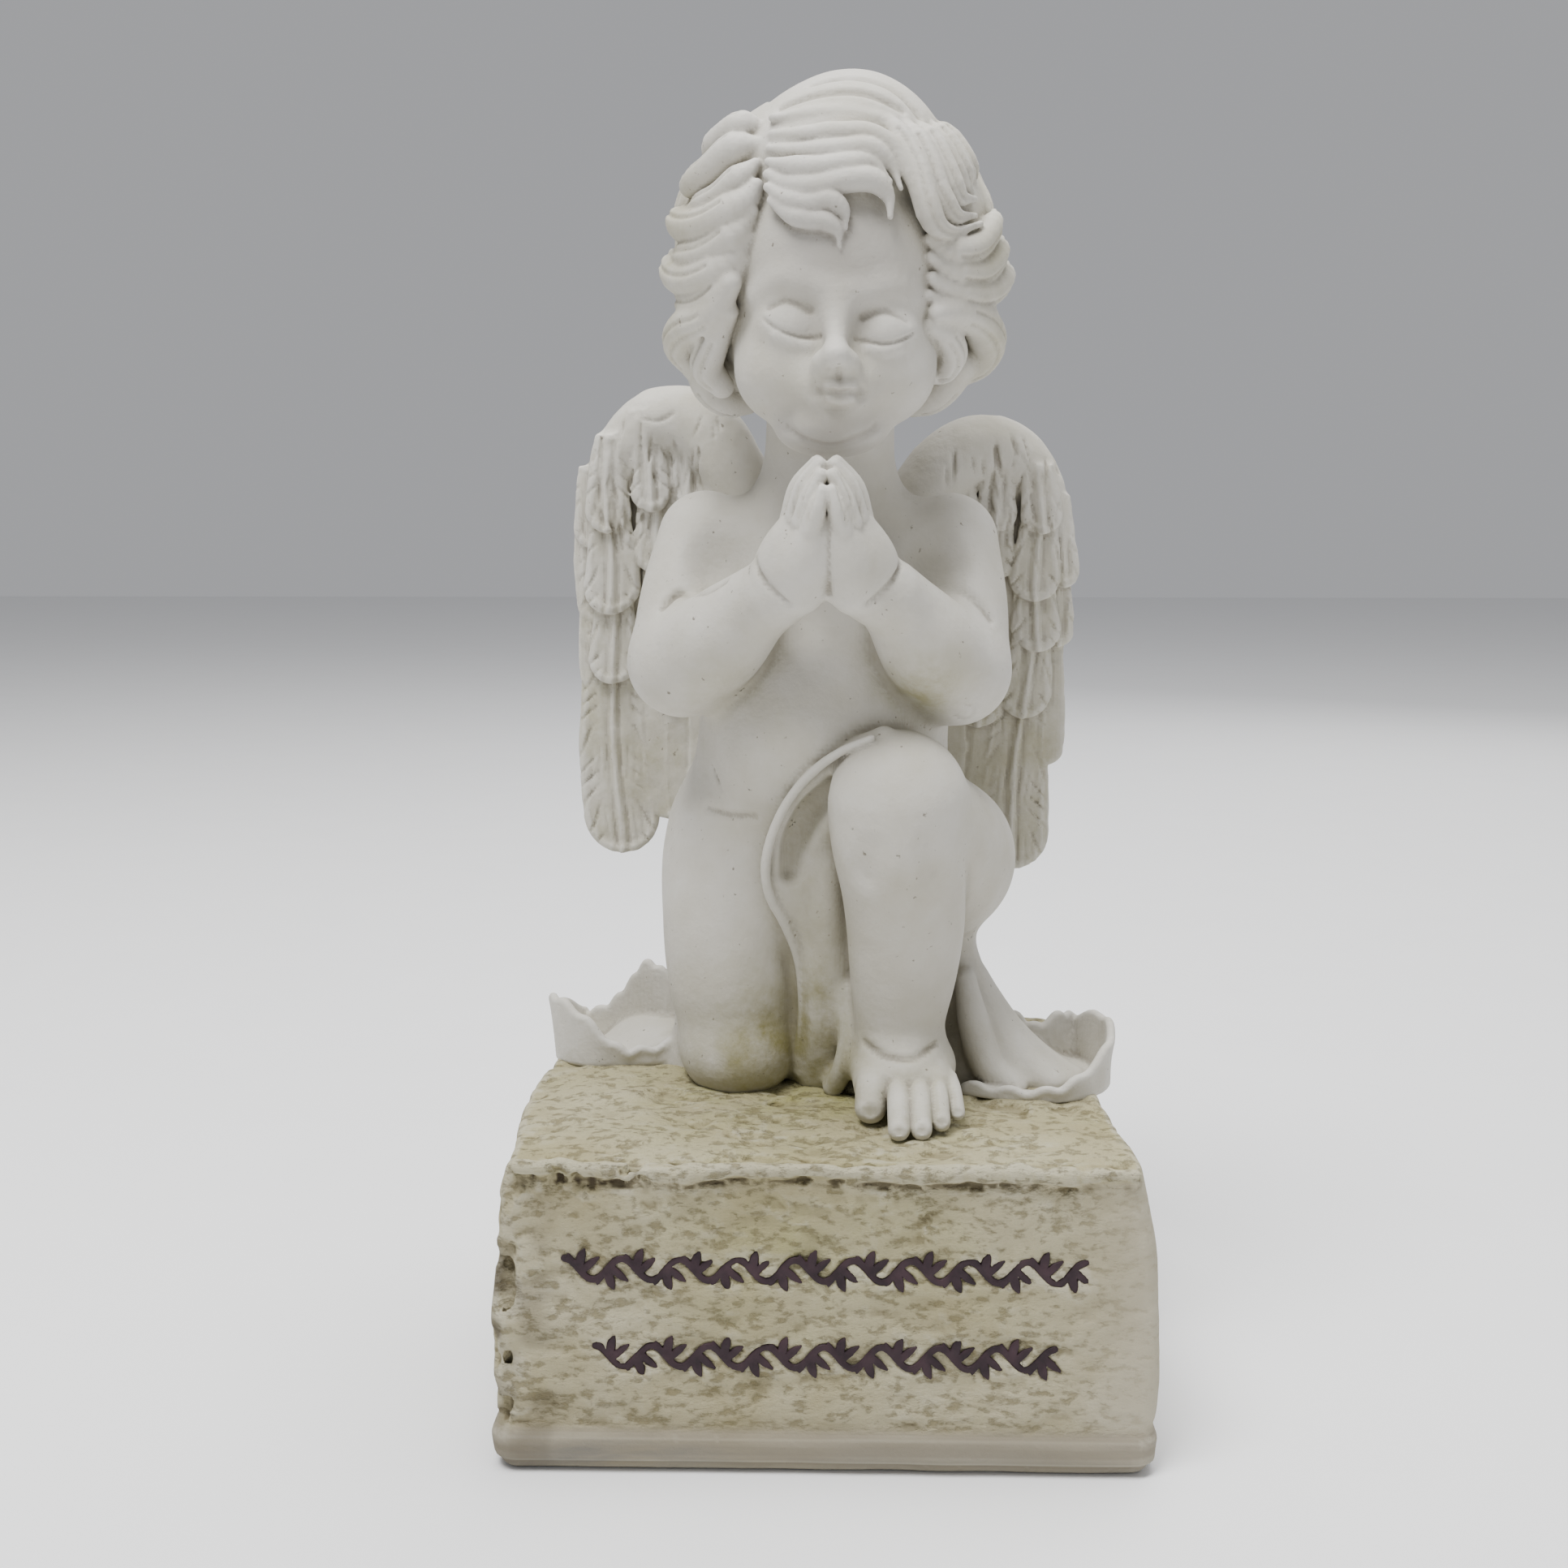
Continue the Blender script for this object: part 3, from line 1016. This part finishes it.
def face(clay):
    """A plump cherub's face with lowered lids."""
    name = "head"
    clay.lump(name, 0, (1.2, 2, 208), (25.6, 26.2, 26.6))
    clay.lump(name, 5, (1.6, -6.5, 205), (19.6, 21.2, 17))
    clay.lump(name, 6, (1.4, -7.5, 190.5), (16.4, 19.4, 16))
    for side in (-1, 1):
        clay.lump(name, 4.5, (1.4 + side * 9.2, -16.4, 187.2), (8, 8.4, 8.2))
    clay.lump(name, 3, (0.8, -16.5, 177.2), (9.5, 9, 4.8))
    # eye sockets, deepest beside the nose, lids and brows
    eyes = ((-1, -6.0, 194.2), (1, 9.6, 192.8))
    for side, x, z in eyes:
        clay.dent(3.6, (x - side * 2.6, -29.6, z + 1.4), (3.6, 3.6, 3.4))
        clay.dent(3.6, (x + side * 0.6, -31, z + 2.4), (5.4, 3.2, 2.2))
        clay.lump(name, 3.2, (x, -22, z + 0.2), (5.5, 4.6, 3.8), side * -8)
        brow = (
            (x + side * 5.6, z + 5.4, 0.9), (x + side * 1.2, z + 7.6, 1.2),
            (x - side * 3.8, z + 6.4, 0.9),
        )
        clay.ridge(name, 3.6, brow, 0.9)
    # nose
    clay.rod(name, 3.4, ((1.6, -25.6, 198.5, 2.5), (1.5, -28.2, 193.8, 1.8), (1.4, -30.4, 190.6, 1.6)))
    clay.lump(name, 1.8, (1.4, -31.8, 188.8), (2.3, 2.4, 2))
    for side in (-1, 1):
        clay.lump(name, 1.4, (1.4 + side * 2.1, -30, 188), (1.3, 1.7, 1.3))
        clay.dent(0.6, (1.4 + side * 1.3, -32, 186.6), (0.7, 0.9, 0.4))
    # muzzle, mouth and chin
    clay.lump(name, 5.5, (1.6, -25.4, 183.6), (5.8, 4.8, 4.6))
    clay.groove(0.9, ((1.8, 186.4, 0.3), (1.9, 185, 0.5)), -0.2)
    upper = (
        (-0.9, 183.0, 0.55), (0.7, 184.1, 0.95), (2.0, 183.7, 0.85), (3.4, 184.1, 0.95),
        (5.2, 183.0, 0.55),
    )
    lower = ((0.1, 182.0, 0.7), (2.1, 181.2, 1.25), (4.2, 182.0, 0.7))
    clay.ridge(name, 1.0, upper, 0.35)
    clay.ridge(name, 1.0, lower, 0.45)
    parting = (
        (-1.4, 182.5, 0.25), (0.6, 183.0, 0.42), (2.0, 182.7, 0.55), (3.6, 183.0, 0.42),
        (5.8, 182.5, 0.25),
    )
    clay.groove(0.5, parting, -0.05)
    for x in (-1.8, 6.2):
        clay.dent(1.6, (x, clay.front(x, 182.6) - 0.5, 182.6), (1.1, 1.2, 1.2))
    clay.dent(1.8, (1.2, clay.front(1.2, 179.9) - 1.3, 179.9), (3.6, 1.9, 0.9))
    clay.lump(name, 2.6, (0.4, -23.2, 177.8), (4.6, 3.8, 3))
    # lash lines, lower lids and the creases over the lids
    lashes = (
        (
            (-11, 195.4, 0.2), (-8.6, 193.5, 0.36), (-5.6, 192.3, 0.5), (-3, 191.8, 0.46),
            (-1.2, 192.1, 0.3),
        ),
        ((4.8, 191.8, 0.3), (6.8, 191.2, 0.42), (9.4, 190.9, 0.5), (12, 191.5, 0.36), (14.6, 193, 0.2)),
    )
    creases = (
        ((-9.8, 197, 0.1), (-6.6, 198, 0.16), (-3, 196.4, 0.2)),
        ((6, 195.4, 0.2), (9.4, 196.4, 0.16), (13.4, 194.8, 0.1)),
    )
    for lash, crease in zip(lashes, creases):
        clay.groove(0.5, lash)
        lower_lid = [(x, z - 1.1, 0.5) for x, z, _ in lash[1:4]]
        clay.ridge(name, 1.2, lower_lid, 0.40)
        clay.groove(1.2, crease)
    # fold under the chin
    fold = ((-7, 177.4, 0.1), (-3.4, 175, 0.3), (0.6, 174.2, 0.35), (4.6, 175, 0.3), (8.4, 177.4, 0.1))
    clay.groove(2, fold)


def trim(solid, beyond):
    """A solid without the part where beyond(x, y, z) is above 0."""
    distance, low, high = solid
    return lambda x, y, z: np.maximum(distance(x, y, z), beyond(x, y, z)), low, high


def lock(clay, name, points, radius, sink=0.9, blend=0.55, tip=0.25, turning=None):
    """One ridge of hair along points on the scalp, thin at its root and at its tip.

    A lock with a turning name passes from one piece into another half way down.
    """
    line = curve(points, 4)
    at = np.linspace(0, 1, len(line))
    size = radius * np.minimum(0.42 + 2.4 * at, 1) * (1 - (1 - tip) * step_up(at, 0.62, 1.0))
    inward = skull - line
    inward /= np.linalg.norm(inward, axis=1, keepdims=True)
    line = line + inward * (sink + 0.5 * radius * (1 - step_up(at, 0.0, 0.34)))[:, None]
    rods = [cone(a, b, ra, rb) for a, b, ra, rb in zip(line, line[1:], size, size[1:])]
    half = len(rods) // 2 if turning else len(rods)
    clay.add(rods[:half], blend, name)
    if turning:
        clay.add(rods[half:], blend, turning)
    return line, size


def comb(clay, line, size, offset):
    """A thin groove along a ridge of hair, beside its crest."""
    outward = line - skull
    outward /= np.linalg.norm(outward, axis=1, keepdims=True)
    along = np.gradient(line, axis=0)
    along /= np.linalg.norm(along, axis=1, keepdims=True) + 1e-9
    across = np.cross(along, outward)
    path = line + outward * (size * 0.92)[:, None] + across * (size * offset)[:, None]
    first = max(1, len(path) // 4)
    rods = [cone(a, b, 0.34, 0.34) for a, b in zip(path[first:-2], path[first + 1 : -1])]
    clay.cut(rods, 0.5)


# Locks of hair, each a thickness and its points.
# Swept from the parting to the angel's left, lowest last:
FRINGE = (
    (
        1.7, (-10, -20, 230), (-5, -20, 229.6), (1, -20.5, 229.6), (6, -20.5, 229), (10, -20.5, 228),
        (12.5, -21.5, 225),
    ),
    (
        1.9, (-10, -21, 227), (-3, -23.6, 226.2), (2, -23.8, 226), (7, -23.8, 225.8), (11.5, -23.5, 223),
        (14.4, -25, 217.5), (15.6, -25.6, 212),
    ),
    (
        1.9, (-10.4, -22, 224.4), (-3, -24.8, 223), (2, -25.3, 223), (7, -25.3, 223.2),
        (10.6, -25, 220.5), (12.4, -26, 216.5),
    ),
    (
        1.9, (-10.6, -23.8, 221.8), (-6.5, -25.6, 220.4), (-2, -26.8, 219.8), (3, -26.8, 220.4),
        (7.5, -26.3, 220.6), (10.6, -26.5, 217.5),
    ),
    (
        2.1, (-10.8, -24.6, 219.6), (-7, -25.9, 217.4), (-2.5, -27.3, 216.6), (3, -27.6, 217.6),
        (7.6, -27.3, 217.6), (10.2, -27.2, 215), (10.6, -28, 211.5),
    ),
    (
        1.8, (-10.8, -25.6, 217.2), (-7, -26.9, 214.8), (-3, -27.9, 213.8), (0.3, -28.4, 214.2),
        (2.6, -28.6, 212.4), (3, -28.8, 209.6),
    ),
    (
        1.6, (-10.2, -26.2, 214.8), (-6.5, -27.6, 212), (-3, -28.3, 211), (-0.5, -28.7, 210.8),
        (1.6, -28.9, 209.2), (2, -29, 206.6),
    ),
)
# from the crown down the angel's left temple:
FALL = (
    (
        2.2, (6, -18.6, 231.2), (9.6, -20, 229), (12.8, -21.6, 225), (15.2, -23.6, 220),
        (16.8, -25, 214.4), (18.6, -24.4, 210.6), (22, -21.5, 209.8), (27, -15, 212.2),
    ),
    (
        2.4, (11, -18, 230.6), (14.6, -19.6, 226.5), (17.2, -21.6, 221), (19.2, -22.4, 215.5),
        (22, -20.5, 212.8), (26, -14.5, 213.6),
    ),
    (
        2.4, (14, -15.5, 230.4), (17.6, -17.8, 226), (20.2, -19.4, 220.5), (22.4, -18.8, 216.4),
        (26, -13.5, 216.6),
    ),
    (2.5, (16.4, -11, 231), (20.4, -14, 226), (23.2, -14.6, 221), (25.6, -12, 218)),
    (2.6, (17, -5, 232), (21.6, -8, 227.4), (24.6, -8.6, 222.6), (25.6, -5, 219)),
)
# the flicked tips beside the left eye:
LEFT_TIPS = (
    (
        2.5, (18.4, -23.5, 208.6), (22.2, -20.4, 206.8), (26.4, -14.6, 208.4), (29.6, -9.5, 213),
        (30, -7, 215.4),
    ),
    (
        2.5, (18.8, -23.2, 205.4), (23, -19.2, 203.4), (27.4, -13, 204.2), (31, -7.6, 208.4),
        (31.6, -5, 211),
    ),
    (
        2.6, (19, -22.6, 201.8), (23.5, -18, 200), (28.4, -11, 200.6), (32.2, -4.8, 204.4),
        (32.8, -2.6, 206.8),
    ),
    (2.4, (18.4, -21.8, 198.8), (23, -17.4, 197), (27.6, -10.8, 197), (31, -4, 200.6)),
)
# waves from the parting to the angel's right, highest first:
RIGHT_WAVES = (
    (2.6, (-12.4, -16.8, 229.4), (-16, -15.4, 228.6), (-19.8, -11.6, 226.6), (-22.6, -6.5, 224.6)),
    (
        2.9, (-12.8, -19.4, 226), (-16.6, -17.8, 224.6), (-20.8, -14.4, 221.4), (-24.4, -9.6, 219.8),
        (-26.2, -5.5, 219.6),
    ),
    (
        2.4, (-13.2, -21.8, 222), (-15.8, -21, 219), (-19.2, -18.4, 216.4), (-23, -13.6, 215.6),
        (-25.6, -9, 216.2),
    ),
    (
        3.2, (-13.2, -23.6, 218), (-16, -22.2, 214.2), (-20.2, -18.6, 212), (-24.6, -12.4, 212.2),
        (-27.4, -6, 214.4), (-27.6, -3, 216),
    ),
    (
        2.8, (-14, -23.8, 213.4), (-17, -21.8, 209), (-21.4, -17.2, 207), (-25.8, -10.8, 207.4),
        (-28.4, -4.8, 208.8),
    ),
    (
        3.2, (-14.8, -23.4, 209), (-18.2, -20.8, 204.4), (-22.6, -15.6, 202.8), (-26.4, -9.4, 203.8),
        (-28.8, -3, 206.6), (-28.4, 0, 208.4),
    ),
    (
        2.5, (-15.4, -22.8, 205), (-18.6, -19.8, 200.6), (-22.6, -14.6, 198.8), (-26, -8.4, 199.6),
        (-27.4, -3, 201.4),
    ),
)
# Bunches over the ears, each a piece and then points with their radius.
CURLS = (
    (
        "right_side_curls", (-16.4, -21.2, 201.5, 1.8), (-20, -16.5, 196.6, 2.9),
        (-24.2, -10.5, 195.4, 3.5), (-26.2, -4.5, 193, 3.4), (-24.4, -1, 189.4, 2.4),
    ),
    (
        "right_side_curls", (-16.8, -18.6, 197, 1.6), (-19.8, -13, 192.6, 2.8), (-21.4, -8, 188.6, 3.0),
        (-18.8, -5.5, 185.4, 2.2),
    ),
    (
        "right_side_curls", (-22.4, -2, 189.4, 3.2), (-21.4, 0.5, 185.8, 3.3), (-18.4, 1.4, 183.0, 2.8),
        (-14.6, 2.0, 182.6, 1.9),
    ),
    (
        "left_side_curls", (18.8, -20.5, 196.6, 1.6), (22.4, -16.6, 197.2, 2.8),
        (26.4, -10.4, 196.2, 3.4), (28.6, -4, 193.4, 3.5), (27.4, -0.5, 190, 3), (23.8, 0.6, 187.6, 2.2),
    ),
    (
        "left_side_curls", (17.8, -19.2, 194.6, 1.5), (20.4, -15.8, 193.4, 2.4), (22, -11.6, 190.6, 2.6),
        (20.8, -8.6, 187.6, 2.1), (18.2, -8.6, 186.8, 1.4),
    ),
    (
        "left_side_curls", (23.6, -3, 189, 3.2), (21.4, 0, 185.8, 3.2), (18.8, 1.4, 183.4, 2.8),
        (15.6, 2.0, 182.0, 1.8),
    ),
)


def crown_and_back(clay):
    """The cap of hair, its raised crown, and rows of waves down the back of the head."""
    clay.lump("hair_crown", 1.5, (0.6, 4.5, 209.5), (27.4, 27.6, 26.8))
    clay.lump("hair_crown", 6, (4.4, 0.5, 223.4), (15, 19.5, 16.8))
    clay.lump("hair_crown", 5, (0.5, -9, 223), (17, 14, 9.5))
    clay.lump("hair_crown", 4, (3.4, -6, 226), (15.6, 14.6, 11.4))
    clay.lump("forelock", 3, (2, -9, 219), (14.5, 16.6, 7.6))
    under = egg((1.5, 3.0, 209.5), (28.4, 29.2, 28.6))
    clay.add(trim(under, lambda x, y, z: x + 14.6 + 0.2 * (215 - z)), 1.0, "right_side_curls")
    clay.add(trim(under, lambda x, y, z: 18.2 - x), 1.0, "left_side_curls")
    waves_behind(clay)


def waves_behind(clay):
    """Long combed waves from the crown down the back of the head, and curls along the nape."""
    rng = np.random.default_rng(61)
    clay.lump("nape_curls", 4, (1, 8, 191), (17.5, 12.5, 10))
    count = 23
    for n in range(count):
        spin = -12 + 204 * n / (count - 1)
        shift = rng.uniform(-2, 2)
        rows = []
        for part in np.linspace(0, 1, 10):
            tilt = np.radians(66 - 112 * part)
            turn = np.radians(spin + shift + (2.5 + 6.0 * part) * np.sin(8.5 * part + 0.4 * shift))
            out = 1.0 + 0.035 * np.sin(17 * part + shift)
            x = 1.0 + 27.2 * out * np.cos(tilt) * np.cos(turn)
            y = 4.5 + 27.6 * out * np.cos(tilt) * np.sin(turn)
            rows.append((x, y, 209.5 + 27.0 * out * np.sin(tilt)))
        radius = rng.uniform(2.3, 3.1)
        line, size = lock(clay, "hair_crown", rows, radius, 0.6, 0.7, tip=0.8, turning="nape_curls")
        comb(clay, line, size, rng.uniform(-0.4, 0.4))
    for n in range(12):
        turn = np.radians(-8 + 196 * n / 11)
        curl = rng.uniform(0.16, 0.26) * (1 if n % 2 else -1)
        rows = []
        for part, (wide, z) in enumerate(((19.6, 194), (18.6, 189.5), (16.2, 185.4), (15.4, 181.6))):
            angle = turn + curl * (0, 0.7, 0.2, -0.9)[part]
            x, y = 1 + wide * np.cos(angle), 5 + 0.86 * wide * np.sin(angle)
            rows.append((x, y, z + rng.uniform(-0.7, 0.7)))
        line, size = lock(clay, "nape_curls", rows, 3.0, sink=0.4, blend=0.8)
        comb(clay, line, size, 0.35)


def hair(clay):
    crown_and_back(clay)
    names = ("right_side_curls", "hair_crown", "left_side_curls", "forelock")
    for name, rows in zip(names, (RIGHT_WAVES, FALL, LEFT_TIPS, FRINGE)):
        for radius, *points in rows:
            line, size = lock(clay, name, points, radius)
            if name != "forelock":
                comb(clay, line, size, 0.35)
    # shallow combing over the smooth crown
    for line in (
        ((-8, 231, 0.35), (-1, 232.8, 0.5), (6, 232.8, 0.5), (12.5, 230.2, 0.35)),
        ((-2.5, 235.2, 0.3), (4.5, 236.2, 0.45), (11, 234.2, 0.45), (15.4, 229.6, 0.35)),
    ):
        clay.groove(1.4, line, 0.1)
    for name, *points in CURLS:
        clay.rod(name, 0.9, points)
        line = curve(points, 4)
        comb(clay, line[:, :3], line[:, 3], 0.4)
        comb(clay, line[:, :3], line[:, 3], -0.4)


def head_paint(points, crease):
    x, y, z = points.T
    sides = step_up(np.abs(x - 1.5), 20, 31) * 0.40
    mouth = 0.40 * bell((x, 1, 5.5), (z, 183, 5.5))
    forehead = bell((x, 2, 15), (z, 207, 10))
    chin = 0.9 * bell((x, 1, 13), (z, 176, 7))
    eyes = 0.7 * bell((np.abs(x - 1.6), 4.2, 3), (z, 194.5, 4))
    lips = 0.8 * bell((x, 1.8, 4.2), (z, 183.6, 3))
    wash = 0.62 * np.maximum.reduce([forehead, chin, eyes, lips]) * step_up(-y, 14, 22)
    return {"stain": np.clip(0.06 + sides + mouth * step_up(-y, 20, 26), 0, 1), "wash": wash}


def build_head():
    clay = Clay((-36, -40, 168), (38, 42, 246), 0.32)
    face(clay)
    clay.reach = 2.5
    hair(clay)
    cut_into_pieces(clay, resin, head_paint)


build_head()


# ---------------------------------------------------------------- wings
def feather(root, tip, width, front, facing=1, seed=0.0):
    """A vane with a rounded tip: raised shaft, slanted barb cuts and a thick rim that falls back.

    front is where its outer face lies in y. facing is 1 for a face towards -Y and -1 for one towards +Y.
    """
    bow, thickness = 1.2, 2.6
    (x0, z0), (x1, z1) = root, tip
    length = np.hypot(x1 - x0, z1 - z0)
    ax, az = (x1 - x0) / length, (z1 - z0) / length
    half = width / 2

    def distance(x, y, z):
        s = (x - x0) * ax + (z - z0) * az
        c = (x - x0) * -az + (z - z0) * ax
        c = c + 0.5 * np.sin(0.15 * s + seed)
        y = front + facing * (y - front)
        grow = np.clip(0.62 + 0.5 * s / length, 0.55, 1.0)
        end = np.maximum(s - (length - half), 0) / half
        wide = half * grow * np.sqrt(np.maximum(1 - end**2, 0))
        straight = length - half
        rounded = np.hypot(s - straight, c / grow) - half
        outline = np.maximum(np.where(s > straight, rounded, np.abs(c) - wide) * 0.85, -s)
        across = c / half
        skin = front + bow * across**2 - 0.35 * np.exp(-(((outline + 0.9) / 0.6) ** 2))
        skin = skin - 0.50 * np.exp(-((c / 0.6) ** 2)) + 0.25 * np.exp(-(((np.abs(c) - 1.3) / 0.5) ** 2))
        slant = s - 1.2 * np.abs(c) + 1.3 * np.sin(0.41 * s + seed * 3.1)
        cutting = step_up(np.sin(slant * 1.55 + seed * 1.7), 0.62, 0.97)
        skin = skin + 0.42 * cutting * step_up(np.abs(across), 0.30, 0.75)
        scratches = np.sin(c * 4.3 + 1.6 * np.sin(s * 0.33 + seed * 2.3) + seed)
        skin = skin + 0.16 * step_up(scratches, 0.3, 0.9) * step_up(np.sin(s * 0.47 + seed), -0.6, 0.5)
        plate = np.maximum(skin - y, y - front - thickness - bow)
        return np.maximum(outline, plate)

    wide = max(width, 3)
    ends = sorted((front - 1.5 * facing, front + facing * (thickness + bow + 1)))
    low = np.array([min(x0, x1) - wide, ends[0], min(z0, z1) - wide])
    high = np.array([max(x0, x1) + wide, ends[1], max(z0, z1) + wide])
    return distance, low, high


def wing(name, side, arch, tiers, cuts):
    """A rolled arm over tiers of feathers, the lowest tier first. x is measured outwards."""
    low, high = box_mm(name)
    clay = Clay(low - (6, 3, 6), high + (6, 5, 9), 0.36, reach=2.0)
    for n, (root, tip, width, front) in enumerate(tiers):
        ends = (side * root[0], root[1]), (side * tip[0], tip[1])
        clay.add(feather(*ends, width, 34.0 + 0.42 * (32 - front), facing=-1, seed=n * 2.11), 0.25, name)
        clay.add(feather(*ends, width, front, seed=n * 1.37), 0.25, name)
    x_arch, _, z_arch, _ = arch[3]
    clay.lump(name, 0.6, (side * (x_arch - 3), 32.3, z_arch - 21), (14, 3.6, 25))
    rods = tube([(side * x, y, z, r) for x, y, z, r in arch], pieces=12)
    clay.add(rods, 1.6, name)
    # the root that joins the wing to the back and holds its pin
    for line in (
        ((11.5, 23.5, 160, 6), (13, 24, 150, 7.8), (15, 25.5, 138, 6.2), (19, 28, 126, 3.6)),
        ((19, 28, 164, 6), (21, 29.5, 150, 5.4), (23, 30.5, 134, 4.2)),
    ):
        clay.rod(name, 3, [(side * x, y, z, r) for x, y, z, r in line], 8)
    for line in cuts:
        clay.groove(0.4, [(side * x, z, r) for x, z, r in line], 0, 3)
    # strokes of the modelling tool that lead from the arm into the feathers
    for spot in np.random.default_rng(70 + len(tiers) + side).uniform(0, 1, (46, 5)):
        x, z = 21 + 25 * spot[0], z_arch + 3.5 - 22 * spot[1]
        z -= 0.018 * (x - x_arch) ** 2
        length, lean = 2.5 + 4.0 * spot[2], (spot[3] - 0.35) * 3.0
        middle = (x + 0.5 * lean, z - 0.5 * length, 0.2 + 0.25 * spot[4])
        line = ((x, z, 0.1), middle, (x + lean, z - length, 0.1))
        clay.groove(0.4, [(side * a, b, r) for a, b, r in line], 0.1, 2)
    x, y, z = clay.grid()
    clay.d += (0.10 * noise(x, y, z, 2.2, 71) + 0.22 * noise(x, y, z, 7, 72)).astype(np.float32)
    cut_into_pieces(clay, resin, wing_paint)


def wing_paint(points, crease):
    return {"stain": 0.50 - 0.32 * step_up(points[:, 2], 115, 170)}


RIGHT_ARCH = (
    (11, 22, 158, 6), (17.5, 25.5, 170, 6.4), (24.5, 28.5, 179, 7), (33, 30.5, 180.5, 6.8),
    (40.5, 31.5, 174.5, 5.8), (44.5, 32.5, 164, 4.6), (47.2, 33.5, 152, 2.6),
)
RIGHT_TIERS = (
    ((24, 150), (22, 104), 12, 32), ((34, 150), (31.5, 100.5), 13, 31), ((44, 150), (42, 93.5), 15.5, 30),
    ((47, 150), (46.5, 127), 7, 31.2), ((22, 160), (22, 122), 11, 29.8),
    ((32, 160), (31.5, 124), 11, 29.2), ((47.5, 168), (47.2, 141), 7, 30),
    ((43, 150), (43.2, 128.6), 10.5, 28.2), ((23, 166), (23, 141), 10, 28.6),
    ((32, 168), (31.5, 138), 10.5, 27.8), ((47, 172), (47.5, 156), 6.5, 28.8),
    ((43.5, 168), (43.2, 142.8), 11.5, 26.8), ((34, 176), (33.5, 151), 9.5, 26.6),
    ((25, 174), (25, 154), 8.5, 26.8), ((42.5, 178), (43.4, 158.5), 9.2, 25.6),
    ((35, 182), (35, 163), 8.5, 25.4), ((28, 180), (28, 164), 7.5, 25.6),
)
LEFT_ARCH = (
    (11, 22, 156, 6), (18, 25.5, 166, 6.4), (26, 28.5, 173.5, 7), (34, 30.5, 174.8, 6.8),
    (41, 31.5, 169.5, 5.6), (44.8, 32.5, 160, 4.2), (46.5, 33.5, 149, 2.4),
)
LEFT_TIERS = (
    ((22, 150), (22, 104), 12, 32), ((31, 150), (29.5, 97), 13, 31), ((41, 145), (37.2, 90.5), 14.5, 30),
    ((46, 150), (44, 112), 7, 31.2), ((22, 158), (22, 122), 11, 29.8), ((31, 158), (30.5, 120), 11, 29.2),
    ((46, 160), (46.2, 136), 6.5, 30), ((41, 142), (39.6, 121.8), 10.5, 28.6),
    ((23, 160), (23, 141), 10, 28.6), ((31, 160), (31, 136), 10.5, 28),
    ((42, 156), (41.8, 135.4), 10, 27.6), ((46, 166), (47, 148), 6.5, 28.2),
    ((33, 168), (32.5, 149), 9.5, 26.8), ((42, 165), (41.8, 145.3), 10.5, 26.4),
    ((34, 174), (34, 159), 8.5, 25.8), ((42, 172), (42.4, 158.5), 8.5, 25.4),
    ((26, 172), (26, 158), 8, 26.2),
)
wing("right_wing", -1, RIGHT_ARCH, RIGHT_TIERS, (((30, 182, 0.3), (33, 180.5, 0.35), (36, 181, 0.3)),))
wing("left_wing", 1, LEFT_ARCH, LEFT_TIERS, (((38, 174, 0.3), (39.5, 171, 0.4), (40, 168.5, 0.3)),))

# ---------------------------------------------------------------- hidden pins keep their CAD shape
steel = drawn_steel()
for pin in ("knee_pin", "foot_pin", "right_wing_pin", "left_wing_pin"):
    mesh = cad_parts[pin].data
    mesh.materials.clear()
    mesh.materials.append(steel)


# ---------------------------------------------------------------- stage, lights and camera
def build_stage():
    size = 3.0
    mesh = bpy.data.meshes.new("floor")
    mesh.from_pydata(
        [(-size, -size, 0), (size, -size, 0), (size, size, 0), (-size, size, 0)], [], [(0, 1, 2, 3)],
    )
    mesh.materials.append(floor_paper())
    floor = bpy.data.objects.new("floor", mesh)
    bpy.context.scene.collection.objects.link(floor)


def build_light(name, place, target, size, power):
    lamp = bpy.data.lights.new(name, "AREA")
    lamp.size = size
    lamp.energy = power
    light = bpy.data.objects.new(name, lamp)
    light.location = place
    light.rotation_euler = (Vector(target) - Vector(place)).to_track_quat("-Z", "Y").to_euler()
    bpy.context.scene.collection.objects.link(light)


def build_camera():
    """A camera a third of a metre in front of the block, looking a little down."""
    camera_data = bpy.data.cameras.new("camera")
    camera_data.lens = 42.8
    camera_data.sensor_width = 36.0
    camera = bpy.data.objects.new("camera", camera_data)
    camera.location = (0.0, -346.0 * MM, 164.5 * MM)
    camera.rotation_euler = (np.radians(90 - 8.54), 0, np.radians(1.30))
    bpy.context.scene.collection.objects.link(camera)
    bpy.context.scene.camera = camera


build_stage()
centre = (0, 0, 0.13)
build_light("key", (-0.30, -0.38, 1.15), centre, 0.45, 18)
build_light("fill", (0.9, -0.8, 0.35), centre, 1.0, 2)
build_light("top", (0.10, 0.10, 1.2), centre, 0.7, 14)
build_light("rim", (0.5, 0.9, 0.6), centre, 0.6, 3)
world = bpy.data.worlds.new("studio")
world.use_nodes = True
world.node_tree.nodes["Background"].inputs[0].default_value = (0.95, 0.96, 1.0, 1)
world.node_tree.nodes["Background"].inputs[1].default_value = 0.42
bpy.context.scene.world = world
build_camera()
